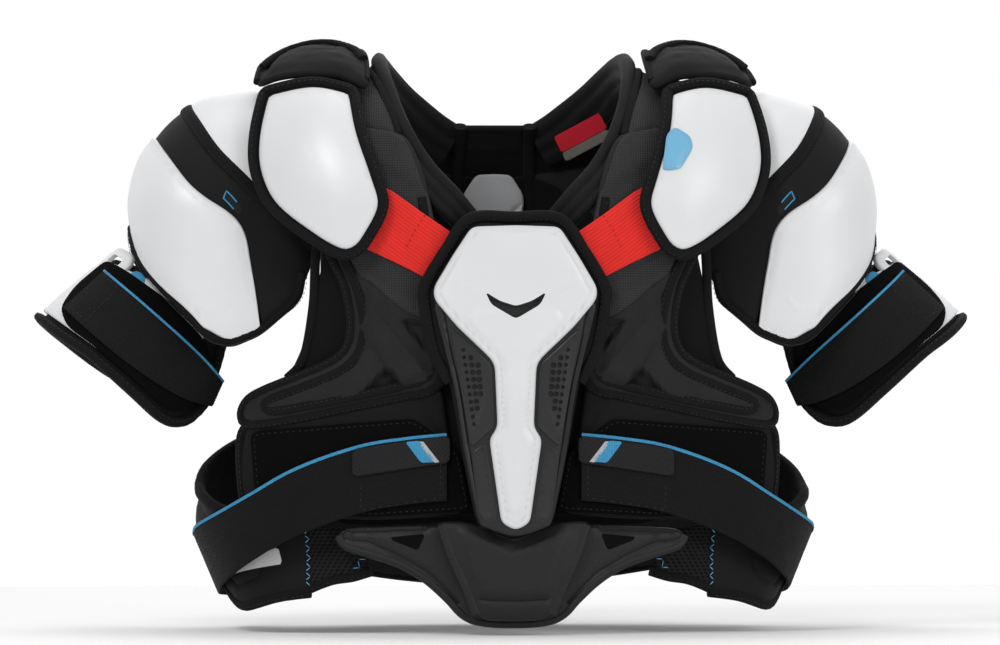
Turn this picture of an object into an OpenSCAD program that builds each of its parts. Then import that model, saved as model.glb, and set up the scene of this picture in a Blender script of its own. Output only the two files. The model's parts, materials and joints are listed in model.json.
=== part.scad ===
// Ice hockey shoulder pads in the worn shape: a chest and back harness, a sternum guard, a hinged belly pad,
// and on each side an epaulet, a shoulder cap, an upper-arm guard and an elastic torso strap.
// Origin: the middle of the neck opening, level with the top of the sternum guard.
// +X points to the wearer's left, -Y to the front and +Z up.
// The left side is drawn and the right one mirrored.

/* [Torso] */
// Half width of the chest that the harness fits
chest_half_w = 200; // [170:1:230]
// Depth of the chest in front of the arm line
chest_front = 112; // [95:1:130]
// Depth of the back behind the arm line
chest_back = 105; // [90:1:125]
// Height of the shoulder beside the neck
shoulder_top = 100; // [85:1:120]
// Gap between facing layers that lie on each other
layer_gap = 0.8; // [0.6:0.1:1.4]

/* [Layers] */
// Thickness of the inner lining
liner_t = 3; // [2:0.5:5]
// Thickness of the moulded chest pads
chest_pad_t = 11; // [7:1:16]
// Thickness of the shoulder yokes
yoke_t = 11; // [7:1:14]
// Thickness of the lower rib panels
rib_pad_t = 7; // [4:1:10]
// Thickness of the back panel
back_pad_t = 12; // [8:1:18]
// Thickness of the webbing and elastic straps
strap_t = 1.6; // [1:0.2:3]
// Thickness of the sternum guard's padded base
sternum_base_t = 5; // [3:0.5:8]
// Thickness of the moulded plastic plates
plate_t = 3.4; // [2:0.2:5]
// Thickness of the epaulet's foam pad
epaulet_pad_t = 6; // [4:0.5:9]

/* [Shoulder cap and arm guard] */
// Distance of the shoulder joint inside the chest's side
joint_inset = 17; // [10:1:26]
// Height of the shoulder joint
joint_z = 6; // [-10:1:20]
// Sideways radius of the cap
cap_rx = 80; // [72:1:92]
// Front-to-back radius of the cap
cap_ry = 82; // [74:1:94]
// Height of the cap above the shoulder joint
cap_rz = 85; // [78:1:92]
// Thickness of the cap's foam liner
cap_liner_t = 8; // [5:0.5:11]
// Angle of the arm from straight down
arm_angle = 36; // [25:1:45]
// Distance of the arm guard's lower edge from the shoulder joint
guard_end = 148; // [135:1:158]
// Thickness of the arm guard's foam pad
guard_pad_t = 8; // [5:0.5:11]

/* [Hidden] */

// The outlines below are drawn for a chest of these sizes and stretch with the real one
drawn_half_w = 200;
drawn_front = 112;
drawn_back = 105;
drawn_top = 100;
wide = chest_half_w / drawn_half_w;
joint_x = chest_half_w - joint_inset;

plan_power = 2.5;      // roundness of the chest seen from above
arch_power = 2.2;      // roundness of the arch over the shoulder
spring_z = -10;        // height where the arch over the shoulder starts
neck_half_w = 60 * wide;  // half width of the neck, where the shoulder starts to slope
shoulder_slope = 0.0028;  // fall of the shoulder, growing with the square of the distance
cap_power = 2.8;       // roundness of the cap seen from above

// Offsets of the layers from the chest surface, each resting on the one below it
chest_pad_o = liner_t + layer_gap;
chest_pad_top = chest_pad_o + chest_pad_t;
loop_o = chest_pad_o + rib_pad_t + layer_gap;
torso_strap_o = loop_o + strap_t + layer_gap;
sternum_strap_o = chest_pad_top + layer_gap;
sternum_base_o = sternum_strap_o + strap_t + layer_gap;
frame_o = sternum_base_o + sternum_base_t + layer_gap;
plate_o = frame_o + plate_t + layer_gap;

// ---- Curves and sheets --------------------------------------------------------------------------

function blend4(a, b, c, d, t) =
  0.5 * (2 * b + (c - a) * t + (2 * a - 5 * b + 4 * c - d) * t * t + (3 * b - a - 3 * c + d) * t * t * t);

// A smooth curve through the points p, with n steps between neighbours
function smooth(p, n) = let (k = len(p) - 1) concat(
  [for (i = [0:k - 1]) for (j = [0:n - 1]) blend4(p[max(i - 1, 0)], p[i], p[i + 1], p[min(i + 2, k)], j / n)],
  [p[k]]);
function transpose(m) = [for (j = [0:len(m[0]) - 1]) [for (row = m) row[j]]];
function refine(net, across, down) =
  transpose([for (column = transpose([for (row = net) smooth(row, across)])) smooth(column, down)]);

// Closed solid between two grids of points that face each other
module between(outer, inner) {
  rows = len(outer);
  cols = len(outer[0]);
  count = rows * cols;
  r = floor(rows / 2);
  c = floor(cols / 2);
  out_way = cross(outer[r][c] - outer[r][c - 1], outer[r][c] - outer[r - 1][c]) * (outer[r][c] - inner[r][c]);
  function at(i, j) = i * cols + j;
  sheet = [for (i = [0:rows - 2]) for (j = [0:cols - 2])
    each [[at(i, j), at(i, j + 1), at(i + 1, j + 1)], [at(i, j), at(i + 1, j + 1), at(i + 1, j)]]];
  rim = concat([for (j = [0:cols - 1]) at(0, j)], [for (i = [1:rows - 1]) at(i, cols - 1)],
    [for (j = [cols - 2:-1:0]) at(rows - 1, j)], [for (i = [rows - 2:-1:1]) at(i, 0)]);
  walls = [for (k = [0:len(rim) - 1]) let (a = rim[k], b = rim[(k + 1) % len(rim)])
    each [[a, a + count, b + count], [a, b + count, b]]];
  back = [for (f = sheet) [f[0] + count, f[2] + count, f[1] + count]];
  faces = concat(sheet, walls, back);
  polyhedron(
    points = concat([for (row = outer) each row], [for (row = inner) each row]),
    faces = out_way > 0 ? [for (f = faces) [f[2], f[1], f[0]]] : faces,
    convexity = 6);
}

// A panel: a net of [u, v] or [u, v, extra offset] laid on a surface, from offset o to o + t
module panel(net, skin, o, t, across = 3, down = 2) {
  grid = refine(net, across, down);
  function place(p, h) = skin(p[0], p[1], h + (len(p) > 2 ? p[2] : 0));
  between([for (row = grid) [for (p = row) place(p, o + t)]], [for (row = grid) [for (p = row) place(p, o)]]);
}

// A closed band of oval section along path, with its wide side along the matching up vectors
module oval_sweep(path, ups, half_h, half_t, sides = 10) {
  k = len(path);
  function unit(v) = v / norm(v);
  function along(i) = unit(path[min(i + 1, k - 1)] - path[max(i - 1, 0)]);
  rings = [for (i = [0:k - 1]) let (a = along(i), u = unit(ups[i] - (ups[i] * a) * a), n = cross(a, u))
    [for (s = [0:sides - 1]) let (w = s * 360 / sides)
      path[i] + half_h[i] * cos(w) * u + half_t * sin(w) * n]];
  function at(i, s) = i * sides + s % sides;
  walls = [for (i = [0:k - 2]) for (s = [0:sides - 1])
    each [[at(i + 1, s + 1), at(i, s + 1), at(i, s)], [at(i + 1, s), at(i + 1, s + 1), at(i, s)]]];
  start = [for (s = [0:sides - 1]) s];
  end = [for (s = [sides - 1:-1:0]) (k - 1) * sides + s];
  polyhedron(points = [for (ring = rings) each ring], faces = concat(walls, [start, end]), convexity = 6);
}

// ---- Surfaces -----------------------------------------------------------------------------------

function plan_share(x, o) =
  pow(max(0, 1 - pow(min(1, abs(x) / (chest_half_w + o)), plan_power)), 1 / plan_power);
function shoulder_z(x, o) = shoulder_top + o - shoulder_slope * pow(max(0, abs(x) - neck_half_w), 2);
function arch_share(x, z, o) = z <= spring_z ? 1 :
  pow(max(0, 1 - pow(min(1, (z - spring_z) / (shoulder_z(x, o) - spring_z)), arch_power)), 1 / arch_power);

// Chest and back at u across and z up, o outside the wearer
on_chest = function (u, z, o) let (x = u * wide)
  [x, -(chest_front + o) * plan_share(x, o) * arch_share(x, z, o), z];
on_back = function (u, z, o) let (x = u * wide)
  [x, (chest_back + o) * plan_share(x, o) * arch_share(x, z, o), z];

// Arch over the shoulder at u across, turned a degrees from the chest, over the top at 90, to the back at 180
on_shoulder = function (u, a, o) let (x = u * wide) [
  x,
  -(a < 90 ? chest_front + o : chest_back + o) * plan_share(x, o) * sign(cos(a))
    * pow(abs(cos(a)), 2 / arch_power),
  spring_z + (shoulder_z(x, o) - spring_z) * pow(sin(a), 2 / arch_power)];

// Round the ribs: a degrees from the front middle, 90 at the side, 180 at the back middle
function ribs_at(a, z, o, half_w, front) = [
  (half_w + o) * pow(sin(a), 2 / plan_power),
  -(a < 90 ? front + o : chest_back + o) * sign(cos(a)) * pow(abs(cos(a)), 2 / plan_power),
  z];
wing_half_w = chest_half_w + 12;  // the wing stands off the ribs
wing_front = chest_front - 15;
on_ribs = function (a, z, o) ribs_at(a, z, o, chest_half_w, chest_front);
on_wing = function (a, z, o) ribs_at(a, z, o, wing_half_w, wing_front);

// Epaulet: an arch of its own over chest and cap, at u from the shoulder joint towards the outside
epaulet_gap = 2;       // gap to the cap at the epaulet's outer edge
epaulet_rise = 18;     // height of the arch above the shoulder beside the neck
epaulet_front = 12;    // distance of the arch in front of the chest
function eased(u, start, inner, outer) = inner + (outer - inner) * pow((u - start) / start, 2);
function epaulet_y(u) = eased(max(u, -88), -88, chest_front + epaulet_front, cap_ry + epaulet_gap);
function epaulet_z(u) = eased(u, -58, shoulder_top + epaulet_rise, joint_z + cap_rz + epaulet_gap);
on_epaulet = function (u, z, o) let (share = min(1, max(0, z) / (epaulet_z(u) + o)))
  [joint_x + u, -(epaulet_y(u) + o) * sqrt(1 - share * share), z];
over_epaulet = function (u, a, o) [joint_x + u, -(epaulet_y(u) + o) * cos(a), (epaulet_z(u) + o) * sin(a)];

// Cap: p degrees outward and q degrees backward from its top, and past 90 degrees that many millimetres down
on_cap = function (p, q, o) let (
    reach = max(0.001, norm([p, q])),
    side = p / reach,
    fore = -q / reach,
    grow = pow(pow(abs(side), cap_power) + pow(abs(fore), cap_power), -1 / cap_power),
    square = min(1, reach / 90),
    r = (1 + (grow - 1) * square) * sin(min(90, reach)))
  [joint_x + (cap_rx + o) * side * r,
   -(cap_ry + o) * fore * r,
   joint_z + (reach < 90 ? (cap_rz + o) * cos(reach) : 90 - reach)];

// Arm: t along the arm from the shoulder joint, turned a degrees from the outside towards the front
arm_way = [sin(arm_angle), 0, -cos(arm_angle)];
arm_out = [cos(arm_angle), 0, sin(arm_angle)];
arm_taper = 0.25;      // growth of the guard's radius along the arm
arm_rx = cap_rx - 28;  // sideways radius of the guard where it starts, inside the cap
arm_ry = cap_ry - 36;  // front-to-back radius there
arm_start = 62;        // distance of the guard's start from the joint
arm_gap = 1.8;         // gap between the guard's round layers
arm_shell_t = plate_t - 1;
on_arm = function (a, t, o) let (grow = arm_taper * (t - arm_start))
  [joint_x, 0, joint_z] + t * arm_way
    + (arm_rx + grow + o) * cos(a) * arm_out + (arm_ry + grow + o) * sin(a) * [0, -1, 0];

module on_side(s) {
  if (s < 0) mirror([1, 0, 0]) children();
  else children();
}

// ---- Harness ------------------------------------------------------------------------------------

module chest_liner() color("#1c1c1e") panel([
  [[72, 46], [92, 56], [110, 60]],
  [[54, -2], [88, -6], [128, -14]],
  [[20, -50], [76, -54], [138, -60]],
  [[4, -110], [80, -112], [146, -108]],
  [[4, -165], [98, -164], [184, -156]],
  [[4, -206], [98, -210], [186, -206]]], on_chest, 0, liner_t, 4, 3);

module chest_pad() color("#2b2b2d") panel([
  [[72, 46], [92, 58], [112, 62]],
  [[56, 0], [88, -4], [130, -16]],
  [[50, -50], [84, -56], [126, -62]],
  [[52, -90], [94, -98], [140, -108]],
  [[58, -116], [112, -128], [184, -144]]], on_chest, chest_pad_o, chest_pad_t, 4, 3);

module rib_panel() color("#242426") panel([
  [[48, -122], [112, -133], [186, -149]],
  [[44, -160], [108, -168], [190, -180]],
  [[36, -206], [100, -212], [184, -206]]], on_chest, chest_pad_o, rib_pad_t, 4, 3);

module loop_patch() color("#050505") panel([
  [[62, -138], [115, -143], [178, -157]],
  [[48, -172], [110, -176], [182, -184]],
  [[44, -202], [104, -208], [178, -201]]], on_chest, loop_o, strap_t, 4, 2);

module yoke() color("#2a2a2c") panel([
  [[80, 38], [96, 48], [116, 55]],
  [[92, 64], [108, 68], [130, 72]],
  [[97, 90], [114, 90], [136, 90]],
  [[93, 114], [108, 112], [132, 110]],
  [[84, 131], [104, 131], [122, 128]]], on_shoulder, 0, yoke_t, 3, 3);

collar_path = [[30, -108, -6], [48, -98, 22], [66, -78, 58], [79, -46, 92], [84, -6, 110],
  [80, 34, 106], [66, 63, 88], [46, 78, 68], [31, 84, 56]];
collar_ups = [[-7, 1, 7], [-6, 2, 7], [-5, 2, 8], [-3, 1, 9], [-2, 0, 9],
  [-2, 0, 9], [-2, -1, 9], [-1, -2, 9], [0, -2, 9]];
collar_half_h = [10, 11, 12, 13, 14, 16, 18, 18, 16];
collar_half_t = 5;
function at_neck(p) = [p.x * wide, p.y * (p.y < 0 ? chest_front / drawn_front : chest_back / drawn_back),
  p.z * shoulder_top / drawn_top];
module collar() color("#19191b")
  oval_sweep(smooth([for (p = collar_path) at_neck(p)], 3), smooth(collar_ups, 3),
    smooth(collar_half_h, 3), collar_half_t);

module sternum_strap() color("#e8312d") panel([
  [[42, -8], [62, 4], [80, 15]],
  [[51, -27], [70, -16], [87, -10]],
  [[60, -46], [80, -37], [97, -32]]], on_chest, sternum_strap_o, strap_t, 2, 2);

// Half widths of the sternum parts at each height, widened to both sides
function both_sides(profile) = [for (p = profile) [for (share = [-1, -0.5, 0, 0.5, 1]) [share * p[0], p[1]]]];

sternum_outline = [[44, 0], [60, -22], [66, -48], [61, -84], [51, -118], [38, -166], [25, -212]];
module sternum_base() color("#1d1d1f")
  panel(both_sides(sternum_outline), on_chest, sternum_base_o, sternum_base_t, 2, 2);
module sternum_foam() color("#3a3a3c")
  panel(both_sides([[34, -10], [48, -24], [54, -42], [50, -50]]),
    on_chest, frame_o, plate_t - layer_gap, 2, 2);
module sternum_frame() color("#4a4b4d")
  panel(both_sides([[56, -54], [54, -90], [45, -140], [33, -190], [22, -216]]),
    on_chest, frame_o, plate_t, 2, 2);

plate_outline = [[37, -7], [50, -24], [60, -42], [57, -57], [43, -76], [20, -97], [17, -145],
  [24, -153], [19, -184], [13, -212], [4, -218]];
module sternum_plate() color("#f2f2f2") panel(both_sides(plate_outline), on_chest, plate_o, plate_t, 2, 1);
module sternum_insert() color("#56585a") panel([
  [[46, -79], [50, -83]],
  [[23, -99], [47, -103]],
  [[20, -144], [38, -146]],
  [[28, -155], [35, -160]]], on_chest, plate_o, plate_t / 2, 3, 2);

// ---- Belly pad ----------------------------------------------------------------------------------

belly_top = -219;       // top edge of the belly pad, below the rib panels
module belly_base() color("#161617")
  panel(both_sides([[112, belly_top], [112, belly_top - 11], [92, -241], [70, -256], [52, -270], [34, -286]]),
    on_chest, -1, 9, 3, 2);
module belly_pad() color("#202022") panel([
  [[-48, -212], [-24, -222], [0, -228], [24, -222], [48, -212]],
  [[-42, -238], [-21, -240], [0, -242], [21, -240], [42, -238]],
  [[-34, -260], [-17, -260], [0, -260], [17, -260], [34, -260]],
  [[-26, -279], [-13, -280], [0, -280], [13, -280], [26, -279]]], on_chest, 8 + layer_gap, 7, 2, 2);

// ---- Back ---------------------------------------------------------------------------------------

module back_panel() color("#242426") panel([
  [[-106, 66], [-64, 48], [0, 43], [64, 48], [106, 66]],
  [[-122, 0], [-61, 0], [0, 0], [61, 0], [122, 0]],
  [[-124, -50], [-62, -50], [0, -50], [62, -50], [124, -50]],
  [[-140, -100], [-70, -100], [0, -100], [70, -100], [140, -100]],
  [[-168, -150], [-84, -152], [0, -152], [84, -152], [168, -150]],
  [[-172, -200], [-86, -204], [0, -206], [86, -204], [172, -200]],
  [[-128, -248], [-64, -258], [0, -262], [64, -258], [128, -248]]], on_back, 0, back_pad_t, 3, 2);
module back_liner() color("#101011")
  panel(both_sides([[40, 30], [90, -14], [98, -60], [112, -110], [130, -160], [120, -215]]),
    on_back, -liner_t - 2 * layer_gap, liner_t, 3, 2);
module spine_guard() color("#3c3d40")
  panel(both_sides([[30, 24], [58, 4], [64, -30], [48, -80], [40, -140], [30, -190], [16, -212]]),
    on_back, back_pad_t + layer_gap, 2 * plate_t, 2, 2);
module inner_spine_pad() color("#c9c9cc")
  panel(both_sides([[14, 38], [26, 22], [25, -10]]), on_back, -liner_t - 3 * layer_gap - 5, 5, 2, 2);
module back_collar() color("#141415") panel(both_sides([[20, 70], [21, 60], [20, 50]]), on_back, -3, 7, 1, 1);
module size_label() color("#b3242c") translate(at_neck([55, 60.5, 66])) rotate([0, -27, -20])
  cube([38, 0.8, 20], center = true);

side_seam = 43;        // angle round the ribs where the wing's foam meets its stretch mesh
module side_wing() color("#1b1b1c") panel([
  [[126, -128], [106, -146], [86, -176], [68, -198], [side_seam + 1, -214]],
  [[126, -200], [106, -204], [86, -214], [66, -234], [side_seam + 1, -238]],
  [[126, -256], [106, -254], [86, -248], [64, -268], [side_seam + 1, -264]]], on_wing, 0, 5, 3, 3);
module side_mesh() color("#0e0e0f") panel([
  [[side_seam, -214], [36, -215], [29, -217]],
  [[side_seam, -264], [36, -258], [29, -250]]], on_wing, 1, 3, 3, 3);

// ---- Torso strap --------------------------------------------------------------------------------

strap_side_o = 7.5;    // how much further out the strap runs at the side, over the wing
strap_hinge_a = 93;    // angle round the ribs where the strap hinges open
strap_net = [[10, -152, -196], [25, -160, -207], [40, -180, -225],
  [66, -206, -250], [80, -216, -260], [92, -222, -265]];
strap_rise = [0, 0, 1, 5.5, strap_side_o, strap_side_o];
function strap_row(z_of) =
  [for (i = [0:len(strap_net) - 1]) [strap_net[i][0], strap_net[i][z_of], strap_rise[i]]];
module torso_strap() color("#0c0c0d")
  panel([strap_row(1), strap_row(2)], on_ribs, torso_strap_o, strap_t, 3, 3);
module strap_anchor() color("#0c0c0d") panel([
  [[strap_hinge_a + 1, -223, strap_side_o], [112, -226, strap_side_o], [132, -226, strap_side_o]],
  [[strap_hinge_a + 1, -266, strap_side_o], [112, -268, strap_side_o], [132, -268, strap_side_o]]],
  on_ribs, torso_strap_o, strap_t, 3, 2);
module strap_tab() color("#2f3033") panel([
  [[9, -151], [16, -154], [25, -162]],
  [[9, -170], [16, -173], [25, -181]]], on_ribs, torso_strap_o + strap_t + layer_gap, strap_t, 3, 2);

// ---- Epaulet ------------------------------------------------------------------------------------

epaulet_net = [
  [[-76, 92], [-45, 99], [-9, 92]],
  [[-80, 62], [-41, 64], [-1, 60]],
  [[-90, 30], [-45, 28], [-1, 32]],
  [[-95, 6], [-57, 2], [-14, 4]],
  [[-79, -24], [-65, -30], [-47, -22]]];
plate_share = 0.86;    // size of the white plate as a share of its pad
epaulet_mid = [-46, 34];
function inset(p) = epaulet_mid + plate_share * (p - epaulet_mid);
module epaulet_pad() color("#1a1a1b") panel(epaulet_net, on_epaulet, 0, epaulet_pad_t, 4, 3);
module epaulet_plate() color("#ededed")
  panel([for (row = epaulet_net) [for (p = row) inset(p)]],
    on_epaulet, epaulet_pad_t + layer_gap, plate_t, 4, 3);
module epaulet_band() color("#0a0a0b") panel([
  [[-71, 62], [-43, 63], [-15, 67]],
  [[-74, 90], [-43, 90], [-10, 90]],
  [[-69, 118], [-43, 120], [-17, 116]]], over_epaulet, 1, epaulet_pad_t, 4, 3);

// ---- Shoulder cap -------------------------------------------------------------------------------

cap_plate_o = -2.4;    // inner face of the cap's plastic plates
cap_plate_t = 3.9;
cap_band_t = 1.4;      // stitched fabric band between the plates
cap_band_o = cap_plate_o - layer_gap - cap_band_t;
cap_liner_o = cap_band_o - layer_gap - cap_liner_t;
module cap_liner() color("#171718") panel([
  [[-62, -138], [-20, -174], [30, -180], [68, -162]],
  [[-67, -87], [-14, -106], [50, -112], [100, -112]],
  [[-46, -42], [0, -44], [56, -40], [106, -36]],
  [[-26, 0], [20, 0], [65, 0], [101, 0]],
  [[-46, 40], [0, 42], [58, 40], [106, 38]],
  [[-60, 80], [-10, 85], [50, 85], [108, 76]],
  [[-46, 102], [0, 126], [50, 126], [90, 102]]], on_cap, cap_liner_o, cap_liner_t, 4, 3);
module cap_band() color("#121213") panel([
  [[-62, -140], [-22, -174]],
  [[-66, -116], [2, -130]],
  [[-61, -95], [10, -104]],
  [[-30, -84], [23, -88]],
  [[-6, -77], [38, -77]],
  [[14, -58], [51, -56]],
  [[24, -28], [59, -20]],
  [[26, 4], [60, 4]],
  [[23, 35], [54, 44]],
  [[5, 64], [40, 76]],
  [[-22, 82], [18, 96]],
  [[-50, 98], [4, 126]]], on_cap, cap_band_o, cap_band_t, 4, 2);
module cap_crown() color("#f0f0f0") panel([
  [[-58, -68], [-44, -78], [-28, -88]],
  [[-50, -50], [-28, -68], [-5, -82]],
  [[-40, -30], [-10, -48], [19, -60]],
  [[-29, -12], [0, -20], [29, -28]],
  [[-25, 4], [3, 4], [31, 4]],
  [[-31, 20], [-2, 28], [28, 34]],
  [[-46, 42], [-18, 56], [10, 66]],
  [[-58, 66], [-40, 78], [-20, 88]]], on_cap, cap_plate_o, cap_plate_t - 1.7, 4, 2);
module cap_shell() color("#f4f4f4") panel([
  [[-18, -174], [28, -180], [66, -160]],
  [[-3, -130], [56, -128], [96, -112]],
  [[6, -102], [62, -90], [108, -68]],
  [[32, -77], [72, -58], [106, -38]],
  [[44, -52], [76, -34], [103, -16]],
  [[53, 0], [78, 0], [100, 0]],
  [[46, 46], [76, 40], [104, 36]],
  [[20, 86], [62, 82], [108, 76]],
  [[8, 122], [48, 124], [88, 102]]], on_cap, cap_plate_o, cap_plate_t, 3, 3);

// ---- Upper-arm guard ----------------------------------------------------------------------------

module arm_hanger() color("#1a1a1a") panel([
  [[-18, 30], [0, 30], [18, 30]],
  [[-18, 60], [0, 60], [18, 60]]], on_arm, -guard_pad_t - arm_gap - 4, 3, 2, 2);
module arm_pad() color("#161617") panel([
  [[-124, 68], [-85, 66], [-40, 78], [0, 81], [40, 77], [85, 66], [130, 68]],
  [[-128, 100], [-85, 104], [-40, 110], [0, 112], [40, 112], [85, 106], [138, 98]],
  [[-124, guard_end - 10], [-85, guard_end], [-40, guard_end], [0, guard_end - 2], [40, guard_end + 2],
    [85, guard_end + 4], [144, guard_end - 26]]],
  on_arm, -guard_pad_t - arm_gap, guard_pad_t, 4, 3);
module arm_shell() color("#ededee") panel([
  [[-95, 74], [-50, 82], [0, 86], [50, 82], [100, 72]],
  [[-100, 104], [-50, 110], [0, 112], [50, 110], [118, 98]],
  [[-92, guard_end - 12], [-50, guard_end - 8], [0, guard_end - 8], [50, guard_end - 6],
    [126, guard_end - 24]]],
  on_arm, 0, arm_shell_t, 3, 2);
strap_pivot_a = 30;    // angle round the arm where the guard's strap is stitched down
module arm_strap() color("#0b0b0c") panel([
  [[strap_pivot_a, 92], [60, 94], [90, 97], [120, 101], [146, 106]],
  [[strap_pivot_a, 130], [60, 134], [90, 136], [120, 134], [146, 126]]],
  on_arm, arm_shell_t + arm_gap, strap_t, 2, 2);

// ---- Assembly -----------------------------------------------------------------------------------

sternum_base();
sternum_foam();
sternum_frame();
sternum_plate();
belly_base();
belly_pad();
back_panel();
back_liner();
spine_guard();
inner_spine_pad();
back_collar();
size_label();
for (s = [1, -1]) on_side(s) {
  side = s > 0 ? "_left" : "_right";
  chest_liner();
  chest_pad();
  rib_panel();
  loop_patch();
  yoke();
  collar();
  sternum_strap();
  sternum_insert();
  side_wing();
  side_mesh();
  strap_anchor();
  torso_strap();
  strap_tab();
  epaulet_pad();
  epaulet_plate();
  epaulet_band();
  cap_liner();
  cap_band();
  cap_crown();
  cap_shell();
  arm_hanger();
  arm_pad();
  arm_shell();
  arm_strap();
}
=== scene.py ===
"""Ice hockey shoulder pads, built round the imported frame. Lengths are in millimetres until a mesh is made."""
import json
import math
import bpy
import mathutils
import mathutils.kdtree
import numpy as np
from mathutils.geometry import delaunay_2d_cdt
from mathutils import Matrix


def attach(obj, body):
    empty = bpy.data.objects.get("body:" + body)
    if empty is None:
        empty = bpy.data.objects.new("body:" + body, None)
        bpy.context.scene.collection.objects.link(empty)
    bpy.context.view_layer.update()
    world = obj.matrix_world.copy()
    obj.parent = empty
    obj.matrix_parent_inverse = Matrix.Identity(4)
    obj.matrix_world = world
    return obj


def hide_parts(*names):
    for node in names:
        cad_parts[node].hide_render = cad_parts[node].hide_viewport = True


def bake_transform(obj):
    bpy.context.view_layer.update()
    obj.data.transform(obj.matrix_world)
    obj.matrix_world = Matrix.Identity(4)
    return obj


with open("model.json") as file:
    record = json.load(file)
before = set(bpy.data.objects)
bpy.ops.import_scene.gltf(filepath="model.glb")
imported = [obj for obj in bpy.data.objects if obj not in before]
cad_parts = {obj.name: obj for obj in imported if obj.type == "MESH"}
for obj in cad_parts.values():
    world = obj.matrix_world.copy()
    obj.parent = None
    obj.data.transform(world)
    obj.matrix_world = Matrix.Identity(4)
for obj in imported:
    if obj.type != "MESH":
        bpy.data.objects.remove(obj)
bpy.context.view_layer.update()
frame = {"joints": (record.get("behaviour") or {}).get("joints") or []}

MM = 0.001
SIDES = (("left", 1), ("right", -1))
joints = {j["name"]: j for j in frame["joints"]}

# ---- Driving dimensions, the same as the CAD model's -------------------------------------------------------

CHEST_HALF_W, CHEST_FRONT, CHEST_BACK, SHOULDER_TOP = 200, 112, 105, 100
PLAN_POWER, ARCH_POWER, CAP_POWER = 2.5, 2.2, 2.8
SPRING_Z, NECK_HALF_W, SHOULDER_SLOPE = -10, 60, 0.0028
WING_HALF_W, WING_FRONT = CHEST_HALF_W + 12, CHEST_FRONT - 15
CAP_RX, CAP_RY, CAP_RZ = 80, 82, 85
CAP_ARC = CAP_RY * math.pi / 2          # length over the cap from its top to its walls
ARM_ANGLE, ARM_START, ARM_TAPER, ARM_RX, ARM_RY = math.radians(36), 62, 0.25, 52, 46
GUARD_END = 148
JOINT_X, _, JOINT_Z = (v / MM for v in joints["arm_guard_swing_left"]["pos_m"])


# ---- Small sums ---------------------------------------------------------------------------------------------

def signed_power(x, power):
    return np.sign(x) * np.abs(x) ** power


def unit(vectors):
    return vectors / np.maximum(1e-9, np.linalg.norm(vectors, axis=1))[:, None]


def step(x):
    """A smooth step from 0 to 1."""
    x = np.clip(x, 0, 1)
    return x * x * (3 - 2 * x)


def dome(share):
    """A quarter circle's height, from 0 at its foot to 1."""
    return np.sqrt(1 - (1 - np.minimum(1, share)) ** 2)


# ---- Surfaces: arrays of two coordinates and a height to points --------------------------------------------

def plan_share(x, o):
    return np.maximum(0, 1 - np.minimum(1, np.abs(x) / (CHEST_HALF_W + o)) ** PLAN_POWER) ** (1 / PLAN_POWER)


def shoulder_z(x, o):
    return SHOULDER_TOP + o - SHOULDER_SLOPE * np.maximum(0, np.abs(x) - NECK_HALF_W) ** 2


def arch_share(x, z, o):
    share = np.clip((z - SPRING_Z) / (shoulder_z(x, o) - SPRING_Z), 0, 1)
    return np.maximum(0, 1 - share ** ARCH_POWER) ** (1 / ARCH_POWER)


def on_chest(x, z, o):
    return np.stack([x, -(CHEST_FRONT + o) * plan_share(x, o) * arch_share(x, z, o), z], -1)


def on_back(x, z, o):
    return np.stack([x, (CHEST_BACK + o) * plan_share(x, o) * arch_share(x, z, o), z], -1)


def on_shoulder(x, a, o):
    """x across, and a degrees over the shoulder: 0 at the chest, 90 at the top, 180 at the back."""
    a = np.radians(a)
    depth = np.where(np.cos(a) > 0, CHEST_FRONT + o, CHEST_BACK + o) * plan_share(x, o)
    y = -depth * signed_power(np.cos(a), 2 / ARCH_POWER)
    return np.stack([x, y, SPRING_Z + (shoulder_z(x, o) - SPRING_Z) * np.sin(a) ** (2 / ARCH_POWER)], -1)


def round_ribs(a, z, o, half_w, front):
    a = np.radians(a)
    depth = np.where(np.cos(a) > 0, front + o, CHEST_BACK + o)
    return np.stack([(half_w + o) * np.sin(a) ** (2 / PLAN_POWER),
                     -depth * signed_power(np.cos(a), 2 / PLAN_POWER), z], -1)


RIB_ARC = 2.5                            # millimetres round the ribs for one degree


def on_ribs(u, z, o):
    return round_ribs(u / RIB_ARC, z, o, CHEST_HALF_W, CHEST_FRONT)


def drawn_in(p, u, z):
    """The lower corners under the straps lean inwards."""
    share = 1 - 0.0019 * np.maximum(0, -214 - z) * np.sin(np.radians(u / RIB_ARC)) ** 4
    return p * np.stack([share, np.ones(len(share)), np.ones(len(share))], -1)


def on_wing(u, z, o):
    return drawn_in(round_ribs(u / RIB_ARC, z, o, WING_HALF_W, WING_FRONT), u, z)


def eased(u, start, inner, outer):
    return inner + (outer - inner) * ((u - start) / start) ** 2


def epaulet_y(u):
    return eased(np.maximum(u, -88), -88, CHEST_FRONT + 12, CAP_RY + 2)


def epaulet_z(u):
    return eased(u, -58, SHOULDER_TOP + 18, JOINT_Z + CAP_RZ + 2)


def on_epaulet(u, z, o):
    share = np.clip(np.maximum(0, z) / (epaulet_z(u) + o), 0, 1)
    return np.stack([JOINT_X + u, -(epaulet_y(u) + o) * np.sqrt(1 - share * share), z], -1)


def over_epaulet(u, v, o):
    """v is the length over the arch, from its top towards the back."""
    a = np.radians(90 + v / 2)
    return np.stack([JOINT_X + u, -(epaulet_y(u) + o) * np.cos(a), (epaulet_z(u) + o) * np.sin(a)], -1)


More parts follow.
